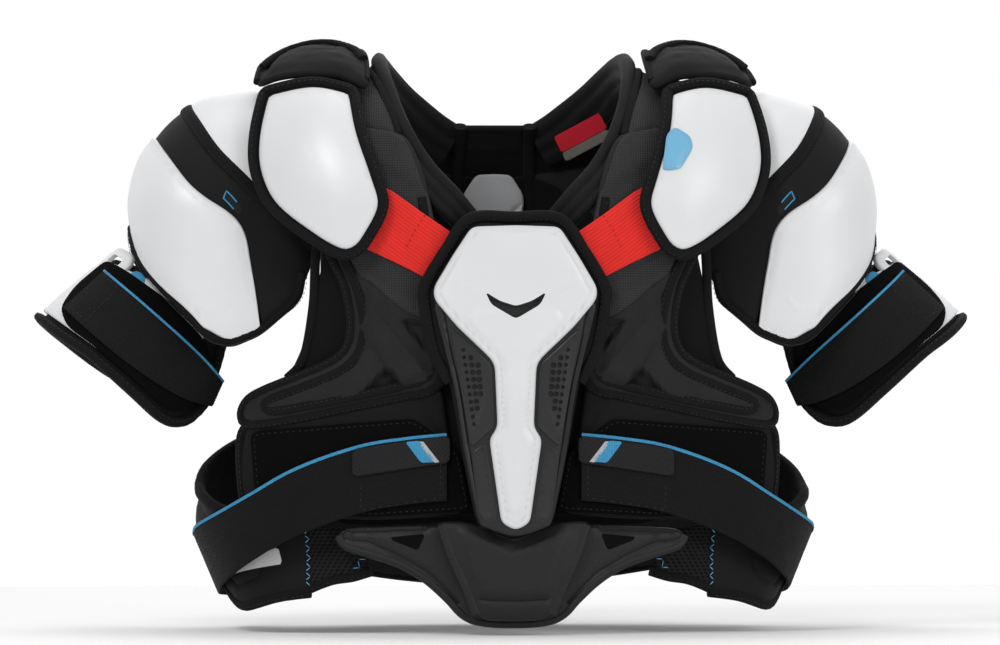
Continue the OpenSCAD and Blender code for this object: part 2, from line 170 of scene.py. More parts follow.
def on_cap(u, v, o):
    """u outward and v backward over the cap's surface from its top."""
    arc = np.maximum(0.001, np.hypot(u, v))
    side, fore = u / arc, -v / arc
    turn = np.minimum(math.pi / 2, arc / CAP_RY)
    grow = (np.abs(side) ** CAP_POWER + np.abs(fore) ** CAP_POWER) ** (-1 / CAP_POWER)
    r = (1 + (grow - 1) * turn / (math.pi / 2)) * np.sin(turn)
    z = np.where(arc < CAP_ARC, (CAP_RZ + o) * np.cos(turn), CAP_ARC - arc)
    return np.stack([JOINT_X + (CAP_RX + o) * side * r, -(CAP_RY + o) * fore * r, JOINT_Z + z], -1)


def cap_point(p, q):
    """Surface coordinates on the cap of p and q degrees from its top, and past 90 that many millimetres down."""
    reach = max(1e-6, math.hypot(p, q))
    arc = min(reach, 90) * CAP_ARC / 90 + max(0, reach - 90)
    return p / reach * arc, q / reach * arc


ARM_WAY = np.array([math.sin(ARM_ANGLE), 0, -math.cos(ARM_ANGLE)])
ARM_OUT = np.array([math.cos(ARM_ANGLE), 0, math.sin(ARM_ANGLE)])


def on_arm(a, t, o):
    """a degrees from the outside towards the front, which is about a millimetre each, and t down the arm."""
    grow = ARM_TAPER * (t - ARM_START) + o
    a = np.radians(a)
    return (np.array([JOINT_X, 0, JOINT_Z]) + t[..., None] * ARM_WAY + ((ARM_RX + grow) * np.cos(a))[...,
            None] * ARM_OUT
            + ((ARM_RY + grow) * np.sin(a))[..., None] * np.array([0, -1, 0]))


# ---- Outlines ----------------------------------------------------------------------------------------------

def curve(points, closed=True, steps=8):
    """Smooth curve through the points."""
    p = np.array(points, float)
    n = len(p)
    last = n if closed else n - 1
    out = []
    for i in range(last):
        a, b, c, d = (p[k % n] if closed else p[min(max(k, 0), n - 1)] for k in (i - 1, i, i + 1, i + 2))
        for t in np.arange(steps) / steps:
            out.append(0.5 * (2 * b + (c - a) * t + (2 * a - 5 * b + 4 * c - d) * t ** 2
                              + (3 * b - a - 3 * c + d) * t ** 3))
    if not closed:
        out.append(p[-1])
    return np.array(out)


def fillet(points, radius, closed=True, steps=5):
    """The same polygon with rounded corners."""
    p = np.array(points, float)
    n = len(p)
    out = []
    for i in range(n):
        if not closed and i in (0, n - 1):
            out.append(p[i])
            continue
        a, b, c = p[i - 1], p[i], p[(i + 1) % n]
        start = b + (a - b) * min(0.45, radius / np.linalg.norm(a - b))
        end = b + (c - b) * min(0.45, radius / np.linalg.norm(c - b))
        for t in np.linspace(0, 1, steps):
            out.append((1 - t) ** 2 * start + 2 * t * (1 - t) * b + t ** 2 * end)
    return np.array(out)


def run_of(line):
    """The length along a line up to each of its points."""
    return np.concatenate([[0], np.cumsum(np.linalg.norm(np.diff(line, axis=0), axis=1))])


def resample(points, count, closed=False):
    """That many points at even distances. A closed line ends where it starts."""
    p = np.array(points, float)
    if closed:
        p = np.vstack([p, p[:1]])
    run = run_of(p)
    at = np.linspace(0, run[-1], count)
    return np.stack([np.interp(at, run, p[:, k]) for k in range(p.shape[1])], -1)


def loop_of(points, count):
    """That many points at even distances round a closed line."""
    return resample(points, count + 1, True)[:-1]


def even(points, pitch, closed=True):
    """The same line with points about that far apart."""
    p = np.array(points, float)
    if closed:
        p = np.vstack([p, p[:1]])
    out = resample(p, max(3, round(run_of(p)[-1] / pitch)) + 1)
    return out[:-1] if closed else out


def distance(points, line, closed=False):
    """Distance of each point from a line."""
    start = np.asarray(line, float)
    end = np.roll(start, -1, 0) if closed else start[1:]
    start = start if closed else start[:-1]
    way = end - start
    length = np.maximum(1e-9, (way ** 2).sum(-1))
    best = np.full(len(points), 1e9)
    for a, w, l in zip(start, way, length):
        t = np.clip(((points - a) @ w) / l, 0, 1)
        best = np.minimum(best, np.hypot(*(points - a - t[:, None] * w).T))
    return best


def inside(points, polygon):
    x, y = points.T
    hit = np.zeros(len(points), bool)
    for (x0, y0), (x1, y1) in zip(polygon, np.roll(polygon, -1, 0)):
        if y0 != y1:
            hit ^= ((y0 > y) != (y1 > y)) & (x < (x1 - x0) * (y - y0) / (y1 - y0) + x0)
    return hit


def signed(points, polygon):
    """Distance from a polygon's edge, positive inside."""
    d = distance(points, polygon, True)
    return np.where(inside(points, polygon), d, -d)


def round_hole(u, v, radius):
    t = np.arange(12) * 2 * math.pi / 12
    return np.stack([u + radius * np.cos(t), v + radius * np.sin(t)], -1)


def winding(outline):
    """1 for an outline that runs anticlockwise, -1 for one that runs clockwise."""
    x, y = outline.T
    return 1 if np.sum(x * np.roll(y, -1) - y * np.roll(x, -1)) > 0 else -1


def offset(points, by, pitch=2.5):
    """The closed outline moved outward by a distance."""
    p = even(points, pitch)
    way = unit(np.roll(p, -1, 0) - np.roll(p, 1, 0))
    moved = p + winding(p) * by * np.stack([way[:, 1], -way[:, 0]], -1)
    return moved[np.abs(signed(moved, p)) > abs(by) * 0.93]


def soften(line, radius):
    """Rounds the corners of a closed line by averaging it over a length."""
    out = even(line, 1.0)
    half = max(1, int(radius / 2))
    for _ in range(2):
        out = sum(np.roll(out, k, 0) for k in range(-half, half + 1)) / (2 * half + 1)
    return out


def net_outline(rows, radius=6):
    """The rounded outline of a net of points, given as its rows."""
    top, bottom = rows[0], rows[-1]
    right, left = [r[-1] for r in rows[1:-1]], [r[0] for r in rows[1:-1]]
    chains = (top, [top[-1], *right, bottom[-1]], bottom[::-1], [bottom[0], *left[::-1], top[0]])
    return soften(np.vstack([curve(c, False, 6)[:-1] for c in chains]), radius)


def mirrored(lines):
    """The lines and then their mirror images."""
    return [np.array(line, float) * (s, 1) for s in (1, -1) for line in lines]


def both_halves(half):
    """A closed outline from its right half, listed from top to bottom."""
    return list(half) + [(-x, z) for x, z in reversed(half) if x != 0]


# ---- Relief: functions of surface points and their distance from the edge ----------------------------------

def groove(line, width, depth, closed=False):
    return lambda uv, d: -depth * np.exp(-(distance(uv, line, closed) / width) ** 2)


def ridge(line, width, height, closed=False):
    return lambda uv, d: height * np.exp(-(distance(uv, line, closed) / width) ** 2)


def raised(polygon, height, slope=1.5):
    return lambda uv, d: height * step(signed(uv, polygon) / slope + 0.5)


def crown(height, reach):
    return lambda uv, d: height * dome(d / reach)


def inset_groove(inset, width, depth):
    return lambda uv, d: -depth * np.exp(-((d - inset) / width) ** 2)


# ---- Meshes ------------------------------------------------------------------------------------------------

made = {}


def mesh_object(name, points, faces, s, attributes, sharp):
    """points in millimetres on the left side; s = -1 mirrors them."""
    points = np.array(points, float) * (s * MM, MM, MM)
    faces = [list(f)[::-1] for f in faces] if s < 0 else [list(f) for f in faces]
    mesh = bpy.data.meshes.new(name)
    mesh.from_pydata(points.tolist(), [], faces)
    for key, values in attributes.items():
        values = np.asarray(values, float)
        if values.ndim == 2:
            mesh.attributes.new(key, "FLOAT_VECTOR", "POINT").data.foreach_set("vector",
                    values.astype(np.float32).ravel())
        else:
            mesh.attributes.new(key, "FLOAT", "POINT").data.foreach_set("value", values.astype(np.float32))
    mesh.update()
    mesh.polygons.foreach_set("use_smooth", [True] * len(mesh.polygons))
    mesh.set_sharp_from_angle(angle=math.radians(sharp))
    obj = bpy.data.objects.new(name, mesh)
    bpy.context.scene.collection.objects.link(obj)
    return obj


def finish_piece(obj, look, body, nodes=()):
    """Gives a piece its material and body, hides the CAD nodes that it replaces and keeps it in made."""
    obj.data.materials.clear()
    obj.data.materials.append(look)
    if body:
        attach(obj, body)
    if nodes:
        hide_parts(*([nodes] if isinstance(nodes, str) else nodes))
    made[obj.name] = obj
    return obj


def filled(edge, holes, inner):
    """The points and triangles that fill an outline round its holes, with more points inside."""
    loops, start = [], 0
    for ring in (edge, *holes):
        loops += [(start + i, start + (i + 1) % len(ring)) for i in range(len(ring))]
        start += len(ring)
    flat = np.vstack([edge, *holes, inner])
    verts, _, tris, _, _, _ = delaunay_2d_cdt([mathutils.Vector(p) for p in flat.tolist()], loops, [], 0, 1e-5)
    uv = np.array([tuple(v) for v in verts])
    tris = np.array([list(t) for t in tris if len(t) == 3])
    middle = uv[tris].mean(1)
    good = signed(middle, edge) > 0
    for hole in holes:
        good &= ~inside(middle, hole)
    tris = tris[good]
    a, b, c = uv[tris[:, 0]], uv[tris[:, 1]], uv[tris[:, 2]]
    area = (b[:, 0] - a[:, 0]) * (c[:, 1] - a[:, 1]) - (b[:, 1] - a[:, 1]) * (c[:, 0] - a[:, 0])
    tris[area < 0] = tris[area < 0][:, ::-1]
    tris = tris[np.abs(area) > 1e-4]
    used = np.unique(tris)
    order = np.full(len(uv), -1)
    order[used] = np.arange(len(used))
    return uv[used], order[tris]


def rim_of(tris):
    """The edges that only one triangle has."""
    pairs = {}
    for t in tris.tolist():
        for i in range(3):
            a, b = t[i], t[(i + 1) % 3]
            if (b, a) in pairs:
                del pairs[(b, a)]
            else:
                pairs[(a, b)] = True
    return pairs


def panel(name, outline, surface, lift, thick, s=1, rim=2.0, grid=3.0, relief=(), seams=(), holes=(), back_rim=0.0,
          sharp=35):
    """A closed sheet over a surface inside an outline, with a rounded rim, relief and round holes.
    seams are lines that get their own rows of points, so that a narrow groove is sharp."""
    edge = even(outline, grid)
    tangent = unit(np.roll(edge, -1, 0) - np.roll(edge, 1, 0))
    inward = winding(edge) * np.stack([-tangent[:, 1], tangent[:, 0]], -1)
    rows = [edge + inward * rim * share for share in (0.15, 0.5, 1.0)]
    for line, width in seams:
        line = even(line, grid * 0.8, False)
        way = unit(np.gradient(line, axis=0))
        rows += [line + np.stack([-way[:, 1], way[:, 0]], -1) * width * k for k in (-1, 0, 1)]
    low, high = edge.min(0), edge.max(0)
    gx, gy = np.meshgrid(np.arange(low[0], high[0], grid), np.arange(low[1], high[1], grid * 0.87))
    gx[1::2] += grid / 2
    field = np.stack([gx.ravel(), gy.ravel()], -1)
    field = field[signed(field, edge) > rim + 0.35 * grid]
    extra = np.vstack(rows)
    extra = extra[signed(extra, edge) > 0.1 * rim]
    keep = np.ones(len(field), bool)
    for line, width in seams:
        keep &= distance(field, line) > width + 0.4 * grid
    for hole in holes:
        keep &= signed(field, hole) < -0.3 * grid
        extra = extra[signed(extra, hole) < -0.2 * grid]
    uv, tris = filled(edge, holes, np.vstack([extra, field[keep]]))
    d = distance(uv, edge, True)
    shape = sum((f(uv, d) for f in relief), np.zeros(len(uv)))
    height = thick - min(rim, thick * 0.9) * (1 - dome(d / rim)) + shape * step(d / max(rim, 0.5))
    under = back_rim * (1 - dome(d / max(back_rim, 0.01)))
    top, bottom = surface(uv[:, 0], uv[:, 1], lift + height), surface(uv[:, 0], uv[:, 1], lift + under)
    probe = tris[len(tris) // 2]
    normal = np.cross(top[probe[1]] - top[probe[0]], top[probe[2]] - top[probe[0]])
    if normal @ (top[probe[0]] - bottom[probe[0]]) < 0:
        tris = tris[:, ::-1]
    m = len(uv)
    faces = tris.tolist() + [[a + m, c + m, b + m] for a, b, c in tris.tolist()] + [(b, a, a + m, b + m) for a,
            b in rim_of(tris)]
    coords = np.column_stack([uv * MM, np.zeros(m)])
    return mesh_object(name, np.vstack([top, bottom]), faces, s, {
        "cloth": np.vstack([coords, coords]), "edge": np.concatenate([d, d]) * MM,
        "relief": np.concatenate([shape, shape * 0])}, sharp=sharp)


def frames(line, surface, lift, closed):
    """Points of a line on a surface, with the directions along it, across it and out of the surface."""
    p = surface(line[:, 0], line[:, 1], np.full(len(line), float(lift)))
    out = unit(surface(line[:, 0], line[:, 1], np.full(len(line), lift + 1.0)) - p)
    way = unit(np.roll(p, -1, 0) - np.roll(p, 1, 0) if closed else np.gradient(p, axis=0))
    across = unit(np.cross(out, way))
    return p, way, across, np.cross(way, across)


def outward_faces(points, faces):
    """Turns every face over if the closed mesh is inside out."""
    volume = sum(np.dot(points[f[0]], np.cross(points[f[i]], points[f[i + 1]])) for f in faces for i in range(1,
            len(f) - 1))
    return faces if volume > 0 else [list(f)[::-1] for f in faces]


def tube(name, grid, run, across, edge, s, closed=False, sharp=50):
    """A mesh from rings of points, with the lengths along it and across it as its cloth coordinates."""
    count, sides = grid.shape[:2]
    points = grid.reshape(-1, 3)
    faces = []
    for i in range(count if closed else count - 1):
        j = (i + 1) % count
        for k in range(sides):
            m = (k + 1) % sides
            faces.append((i * sides + k, i * sides + m, j * sides + m, j * sides + k))
    if not closed:
        faces += [list(range(sides))[::-1], [(count - 1) * sides + k for k in range(sides)]]
    across, edge = (np.broadcast_to(v, (count, sides)).ravel() for v in (across, edge))
    coords = np.column_stack([np.repeat(run, sides), across, np.zeros(count * sides)])
    return mesh_object(name, points, outward_faces(points, faces), s, {
        "cloth": coords * MM, "edge": edge * MM, "relief": np.zeros(count * sides)}, sharp=sharp)


def sweep(name, line, surface, lift, half_w, half_h, s, closed, shift, wrinkle, power=2.4, sides=14, pitch=2.5):
    """A rounded band along a line on a surface: half_w to each side, half_h up and down, moved sideways by shift."""
    line = even(line, pitch, closed)
    p, _, across, out = frames(line, surface, lift, closed)
    t = np.arange(sides) * 2 * math.pi / sides
    a, b = signed_power(np.cos(t), 2 / power) * half_w, signed_power(np.sin(t), 2 / power) * half_h
    run = np.arange(len(line)) * pitch
    swell = 1 + wrinkle * (np.sin(run * 0.9) * 0.6 + np.sin(run * 0.37 + 1.3) * 0.4)
    grid = p[:, None] + (a[None, :, None] + shift) * across[:, None] + (b[None, :] * swell[:, None])[...,
            None] * out[:, None]
    return tube(name, grid, run, a + b, half_w - np.abs(a), s, closed, 60)


def ribbon(name, line, surface, lift, width, thick, s, pitch=2.5, cols=5):
    """A flat tape along a line on a surface."""
    line = even(line, pitch, False)
    p, _, across, out = frames(line, surface, lift, False)
    a = np.linspace(-0.5, 0.5, cols) * width
    b = thick * (1 - 0.5 * (np.abs(a) > width / 2 - 0.6))
    a, b = np.concatenate([a, a[::-1]]), np.concatenate([b, np.zeros(cols)])
    grid = p[:, None] + a[None, :, None] * across[:, None] + b[None, :, None] * out[:, None]
    return tube(name, grid, np.arange(len(line)) * pitch, a, width / 2 - np.abs(a), s)


def loft(name, first, second, surface, lift, thick, s, pitch=2.5, cols=14, ribs=0.0, rib_pitch=3.0, round_edge=0.5):
    """A strap whose two edges are lines on a surface, with lengthwise ribs."""
    rows = max(4, round(run_of(np.array(first, float))[-1] / pitch) + 1)
    a, b = resample(first, rows), resample(second, rows)
    t = np.linspace(0, 1, cols)
    flat = (a[:, None] * (1 - t)[None, :, None] + b[:, None] * t[None, :, None]).reshape(-1, 2)
    width = np.linalg.norm(b - a, axis=1)[:, None]
    across = width * t
    near_edge = np.minimum(across, width - across)
    height = thick - round_edge * (near_edge < 0.7) + ribs * np.cos(across * 2 * math.pi / rib_pitch)
    top, bottom = (surface(flat[:, 0], flat[:, 1], lift + h.ravel()).reshape(rows, cols, 3) for h in (height,
            height * 0))
    return tube(name, np.concatenate([top, bottom[:, ::-1]], 1), run_of((a + b) / 2),
                np.concatenate([across, across[:, ::-1]], 1),
                np.concatenate([near_edge, near_edge[:, ::-1]], 1), s)


def stitch_row(name, line, surface, lift, s=1, closed=True, length=2.6, gap=1.6, thick=0.45, shift=0.0, zigzag=0.0):
    """A row of stitches: each is a small spindle lying along the line, or leaning to and fro."""
    line = even(line, gap if zigzag else length + gap, closed)
    p, way, across, out = frames(line, surface, lift, closed)
    base = p + across * shift
    points, faces = [], []
    for i in range(len(line) if closed else len(line) - 1):
        if zigzag:
            lean = across[i] * zigzag * (1 if i % 2 else -1)
            start, end = base[i] + lean, base[(i + 1) % len(line)] - lean
        else:
            start, end = base[i] - way[i] * length / 2, base[i] + way[i] * length / 2
        middle, run = (start + end) / 2, (end - start) / np.linalg.norm(end - start)
        beside, above = np.cross(out[i], run) * thick, out[i] * thick
        ring = [middle + beside, middle + above, middle - beside, middle - above]
        k = len(points)
        near, far = ([tip + (q - tip) * 0.6 for q in ring] for tip in (start, end))
        points += [start - out[i] * 0.2] + near + far + [end - out[i] * 0.2]
        for m in range(4):
            n = (m + 1) % 4
            faces += [(k, k + 1 + n, k + 1 + m), (k + 1 + m, k + 1 + n, k + 5 + n, k + 5 + m),
                      (k + 5 + m, k + 5 + n, k + 9)]
    points = np.array(points)
    return mesh_object(name, points, outward_faces(points, faces), s, {"cloth": points * MM}, sharp=80)


# ---- Materials ---------------------------------------------------------------------------------------------

class Value:
    """A node's output. Sums and products of values become math nodes."""

    def __init__(self, look, socket):
        self.look, self.socket = look, socket

    def __add__(self, other):
        return self.look.math("ADD", self, other)

    def __sub__(self, other):
        return self.look.math("SUBTRACT", self, other)

    def __mul__(self, other):
        return self.look.math("MULTIPLY", self, other)


class Look:
    """A Principled material, patterned along the cloth's coordinates or in space."""

    def __init__(self, name, rough, sheen=0.0, coat=0.0, specular=0.5, cloth=True):
        self.material = bpy.data.materials.new(name)
        self.material.use_nodes = True
        self.nodes = self.material.node_tree.nodes
        self.links = self.material.node_tree.links
        self.nodes.clear()
        self.shader = self.nodes.new("ShaderNodeBsdfPrincipled")
        self.links.new(self.shader.outputs[0], self.nodes.new("ShaderNodeOutputMaterial").inputs["Surface"])
        for socket, value in (("Roughness", rough), ("Specular IOR Level", specular), ("Sheen Weight", sheen),
                              ("Sheen Roughness", 0.45), ("Coat Weight", coat), ("Coat Roughness", 0.25)):
            self.shader.inputs[socket].default_value = value
        self.where = self.attribute("cloth", "Vector") if cloth else self.node("TexCoord", "Object")
        self.x, self.y, self.z = (self.node("SeparateXYZ", axis, {0: self.where}) for axis in "XYZ")

    def node(self, kind, output, inputs=None, **settings):
        node = self.nodes.new("ShaderNode" + kind)
        for key, value in settings.items():
            setattr(node, key, value)
        for socket, value in (inputs or {}).items():
            if isinstance(value, Value):
                self.links.new(value.socket, node.inputs[socket])
            else:
                node.inputs[socket].default_value = value
        return Value(self, node.outputs[output])

    def attribute(self, name, output="Fac"):
        return self.node("Attribute", output, attribute_name=name)

    def math(self, operation, *values):
        return self.node("Math", 0, dict(enumerate(values)), operation=operation)

    def noise(self, size, detail=3.0, rough=0.6):
        """Noise with features of that size in millimetres."""
        return self.node("TexNoise", "Fac", {"Vector": self.where, "Scale": 1 / (size * MM), "Detail": detail,
                                             "Roughness": rough})

    def cells(self, size):
        return self.node("TexVoronoi", "Distance", {"Vector": self.where, "Scale": 1 / (size * MM)})

    def waves(self, along, pitch):
        return self.math("SINE", along * (2 * math.pi / (pitch * MM)))

    def rows(self, along, pitch):
        """The same waves from 0 to 1."""
        return self.waves(along, pitch) * 0.5 + 0.5

    def edge(self, reach):
        """0 at a piece's edge to 1 at a distance inside it."""
        return self.math("MINIMUM", self.attribute("edge") * (1 / (reach * MM)), 1.0)

    def paint(self, factor, low, high):
        mix = self.node("Mix", 2, {0: factor, 6: (*low, 1), 7: (*high, 1)}, data_type="RGBA")
        self.links.new(mix.socket, self.shader.inputs["Base Color"])

    def roughen(self, factor, low, high):
        spread = self.node("MapRange", 0, {"Value": factor, "To Min": low, "To Max": high})
        self.links.new(spread.socket, self.shader.inputs["Roughness"])

    def bump(self, height, depth):
        """height from 0 to 1 as a relief of that depth in millimetres."""
        bent = self.node("Bump", 0, {"Height": height, "Distance": depth * MM, "Strength": 1.0})
        self.links.new(bent.socket, self.shader.inputs["Normal"])
        return self.material


def shade(color, factor):
    return tuple(min(1.0, c * factor) for c in color)


def plastic(name, color, rough, dark_edge_groove_shade_level, coat=0.0, specular=0.5):
    """Satin moulded plastic with fine scuffs, darker near its edge, and with painted shade in its grooves."""
    k = Look(name, rough, coat=coat, specular=specular, cloth=False)
    scuffs = k.math("POWER", k.noise(3, 8, 0.75), 3.0)
    broad = k.noise(60, 2)
    # Painted shade: the darker colour is mixed into grooves (negative relief). The outer 3 mm of each edge is
    # darkened too, and broad noise varies the tone.
    edge_tone_groove_shade_mix = k.math("MINIMUM", k.edge(3) * 0.75 + broad * 0.35, k.attribute("relief") * 0.9 + 1.0)
    k.paint(edge_tone_groove_shade_mix, shade(color, dark_edge_groove_shade_level), color)
    k.roughen(scuffs + broad * 0.4, rough - 0.07, rough + 0.14)
    return k.bump(k.noise(1.1, 2) * 0.5 + scuffs * 0.4, 0.05)


def cloth(name, color, weave, contrast, sheen, depth, twill=False):
    """Woven cloth with a plain or twill weave, slubs and slow changes of colour."""
    k = Look(name, 0.85, sheen=sheen, specular=0.12)
    across = k.waves(k.x + k.y if twill else k.x, weave)
    along = k.waves(k.x - k.y if twill else k.y, weave * (3 if twill else 1))
    threads = across * along * 0.5 + 0.5
    fuzz = k.noise(0.5, 4, 0.7)
    k.paint(threads * contrast + k.noise(35, 3) * 0.3 + fuzz * 0.35, shade(color, 0.55), shade(color, 1.6))
    k.roughen(fuzz, 0.77, 0.95)
    return k.bump(threads + fuzz * 0.7, depth)


def neoprene(name, color, pebble=1.1, depth=0.12):
    """Smooth-faced stretch cloth over foam: a fine pebble, soft sheen and small creases."""
    k = Look(name, 0.72, sheen=0.01, specular=0.17)
    cells = k.cells(pebble)
    fuzz = k.noise(0.4, 4, 0.7)
    k.paint(cells * 0.45 + k.noise(28, 3) * 0.55, shade(color, 0.6), shade(color, 1.5))
    k.roughen(fuzz, 0.62, 0.86)
    return k.bump(cells + fuzz * 0.6, depth)


def knit_grid(name, color, pitch=1.7):
    """Moulded spacer cloth with a grid of small square cells."""
    k = Look(name, 0.7, sheen=0.01, specular=0.2)
    cell = k.math("ABSOLUTE", k.waves(k.x, 2 * pitch)) * k.math("ABSOLUTE", k.waves(k.y, 2 * pitch))
    fuzz = k.noise(0.5, 4, 0.7)
    k.paint(cell * 0.65 + k.noise(30, 3) * 0.35, shade(color, 0.35), shade(color, 1.7))
    k.roughen(fuzz, 0.6, 0.82)
    return k.bump(cell + fuzz * 0.25, 0.4)


def pile(name, color):
    """Loop pile of a hook-and-loop fastener: deep, matt and slightly clumped."""
    k = Look(name, 0.95, specular=0.05)
    loops = k.noise(0.7, 5, 0.8) * (k.noise(4, 3) + 0.5)
    k.paint(loops, shade(color, 0.4), shade(color, 2.4))
    return k.bump(loops, 0.7)


def elastic(name, color, rib=1.5, cross=0.8, contrast=0.5, sheen=0.01):
    """Knitted elastic: ribs along the strap with finer threads across."""
    k = Look(name, 0.75, sheen=sheen, specular=0.14)
    ribs, threads = k.rows(k.y, rib), k.rows(k.x, cross)
    k.paint(ribs * contrast + k.noise(18, 4) * 0.4 + threads * 0.2, shade(color, 0.6), shade(color, 1.35))
    k.roughen(threads, 0.68, 0.85)
    return k.bump(ribs + threads * 0.5, 0.3)


def leather(name, color):
    """Grained synthetic leather, a little shinier where it is stretched."""
    k = Look(name, 0.5, specular=0.3)
    grain, wrinkles = k.cells(0.9), k.noise(3.5, 5, 0.65)
    k.paint(grain * 0.5 + wrinkles * 0.5, shade(color, 0.6), shade(color, 1.6))
    k.roughen(wrinkles, 0.4, 0.62)
    return k.bump(grain + wrinkles * 0.8, 0.16)


def mesh_cloth(name, color, pitch=2.6):
    """Stretch mesh: rows of small slots between threads."""
    k = Look(name, 0.8, sheen=0.01, specular=0.12)
    hole = k.rows(k.y, pitch) * k.rows(k.x + k.y * 0.5, pitch * 1.3)
    k.paint(hole, shade(color, 2.2), shade(color, 0.2))
    return k.bump(hole * -1.0 + 1.0, 0.8)


def thread(name, color):
    """Twisted sewing thread."""
    k = Look(name, 0.6, specular=0.35)
    twist = k.rows(k.x + k.z, 0.5)
    k.paint(twist, shade(color, 0.7), shade(color, 1.2))
    return k.bump(twist, 0.12)


LOOKS = {
    "white": plastic("white_plastic", (0.675, 0.68, 0.69), 0.36, 0.74),
    "grey": plastic("grey_plastic", (0.014, 0.0145, 0.0155), 0.42, 0.6, specular=0.3),
    "vent": plastic("vent_plastic", (0.022, 0.022, 0.023), 0.3, 0.7, coat=0.1, specular=0.3),
    "binding": cloth("binding_cloth", (0.0062, 0.0062, 0.0066), weave=0.8, contrast=0.4, sheen=0.01, depth=0.14),
    "lining": cloth("lining_cloth", (0.005, 0.005, 0.0055), weave=0.6, contrast=0.3, sheen=0.01, depth=0.1),
    "neoprene": neoprene("neoprene_cloth", (0.0052, 0.0052, 0.0056)),
    "foam": neoprene("moulded_foam_cloth", (0.013, 0.013, 0.0135), pebble=0.9, depth=0.14),
    "knit": knit_grid("knit_grid_cloth", (0.026, 0.026, 0.027)),
    "pile": pile("loop_pile", (0.0024, 0.0024, 0.0026)),
    "red": elastic("red_elastic", (0.82, 0.03, 0.024), rib=2.4, cross=0.9, contrast=0.25, sheen=0.0),
    "elastic": elastic("black_elastic", (0.0058, 0.0058, 0.0062), rib=1.6),
    "blue": elastic("blue_edge", (0.06, 0.31, 0.55), rib=0.9, cross=1.1, contrast=0.3),
    "leather": leather("belly_leather", (0.0085, 0.0085, 0.009)),
    "mesh": mesh_cloth("stretch_mesh", (0.006, 0.006, 0.0064)),
    "black_thread": thread("black_thread", (0.03, 0.03, 0.032)),
    "blue_thread": thread("blue_thread", (0.2, 0.55, 0.85)),
    "red_thread": thread("red_thread", (0.14, 0.006, 0.005)),
    "pad_grey": cloth("inner_pad_cloth", (0.5, 0.505, 0.515), weave=0.7, contrast=0.2, sheen=0.05, depth=0.1),
    "red_label": cloth("red_label_cloth", (0.5, 0.015, 0.03), weave=0.5, contrast=0.2, sheen=0.05, depth=0.06,
                       twill=True),
    "olive_label": cloth("grey_label_cloth", (0.14, 0.135, 0.115), weave=0.5, contrast=0.2, sheen=0.05, depth=0.06,
                         twill=True),
    "white_label": cloth("white_label_cloth", (0.68, 0.68, 0.67), weave=0.4, contrast=0.08, sheen=0.1, depth=0.03),
    "tab": cloth("woven_tab", (0.013, 0.013, 0.014), weave=2.2, contrast=0.8, sheen=0.02, depth=0.3, twill=True),
    "tag_grey": plastic("backing_plastic", (0.45, 0.46, 0.47), 0.4, 0.8),
    "rib": cloth("rib_cloth", (0.0075, 0.0075, 0.008), weave=1.2, contrast=0.5, sheen=0.01, depth=0.25),
    "tag": plastic("blue_tag", (0.15, 0.4, 0.6), 0.3, 0.85, coat=0.3),
}


def put(obj, look, body, nodes=()):
    return finish_piece(obj, LOOKS[look], body, nodes)


# ---- Shared outlines and builders for the pieces -----------------------------------------------------------

def over_shoulder(x, v, o):
    """x across and v millimetres from the shoulder's top towards the back."""
    return on_shoulder(x, 90 + v / 1.9, o)


# Degrees round the ribs, and how far the torso strap stands off them there
RISE_A = [10, 25, 40, 66, 80, 92, 140]
RISE = [0, 0, 1, 5.5, 7.5, 7.5, 7.5]
STRAP_LIFT, STRAP_THICK = 14.0, 1.7
WEBBING = {"pitch": 3, "ribs": 0.1, "rib_pitch": 2.2}
HEM_SEAM = {"length": 2.4, "gap": 1.3, "thick": 0.38}


def on_strap(u, z, o):
    """The ribs' surface with the torso strap's way out over the wing."""
    return drawn_in(on_ribs(u, z, o + np.interp(u / RIB_ARC, RISE_A, RISE)), u, z)


def at_a(points):
    """Points given as degrees round the ribs and a height, as surface coordinates."""
    return [(a * RIB_ARC, z) for a, z in points]


def edging(name, line, surface, lift, s, body, half_w=3.6, half_h=3.4, closed=False, stitch=0.0, look="binding",
           wrinkle=0.05):
    """A rounded cloth binding with a row of stitches along it, which stands that far to one side of its middle."""
    band = sweep(name, line, surface, lift, half_w, half_h, s, closed, 0.0, wrinkle)
    put(band, look, body)
    if stitch is not None:
        height = half_h * math.sqrt(1 - (abs(stitch) / half_w) ** 2.4) - 0.1
        put(stitch_row(name + "_stitches", line, surface, lift + height, s, closed, shift=stitch, **HEM_SEAM),
            "black_thread", body)


# ---- Sternum guard -----------------------------------------------------------------------------------------

base_line = soften(curve(both_halves([(0, 4), (33, 3), (51, -20), (66, -46), (66.5, -62), (62, -88), (55, -102),
                                      (46, -114), (42, -132), (36, -167), (27, -209), (21, -216), (0, -221)]), True,
                                      8), 5)
put(panel("sternum_base_pad", base_line, on_chest, 18, 4.4, rim=3, grid=4), "neoprene", "harness", "sternum_base")
upper_edge = curve([(-45, -114), (-53, -101), (-58, -88), (-62.5, -62), (-62, -47), (-47.5, -22), (-31, -1), (0, 0),
                    (31, -1), (47.5, -22), (62, -47), (62.5, -62), (58, -88), (53, -101), (45, -114)], False, 8)
edging("sternum_binding", upper_edge, on_chest, 21.6, 1, "harness", half_w=4.2, half_h=4.0, stitch=-2.4)
foam_line = soften(curve(both_halves([(0, -5), (28, -5.5), (42, -24), (56, -47), (57.5, -58), (50, -66), (0, -68)]),
                         True, 8), 3)
put(panel("sternum_foam_face", foam_line, on_chest, 23.2, 3.2, rim=2, grid=4), "neoprene", "harness", "sternum_foam")

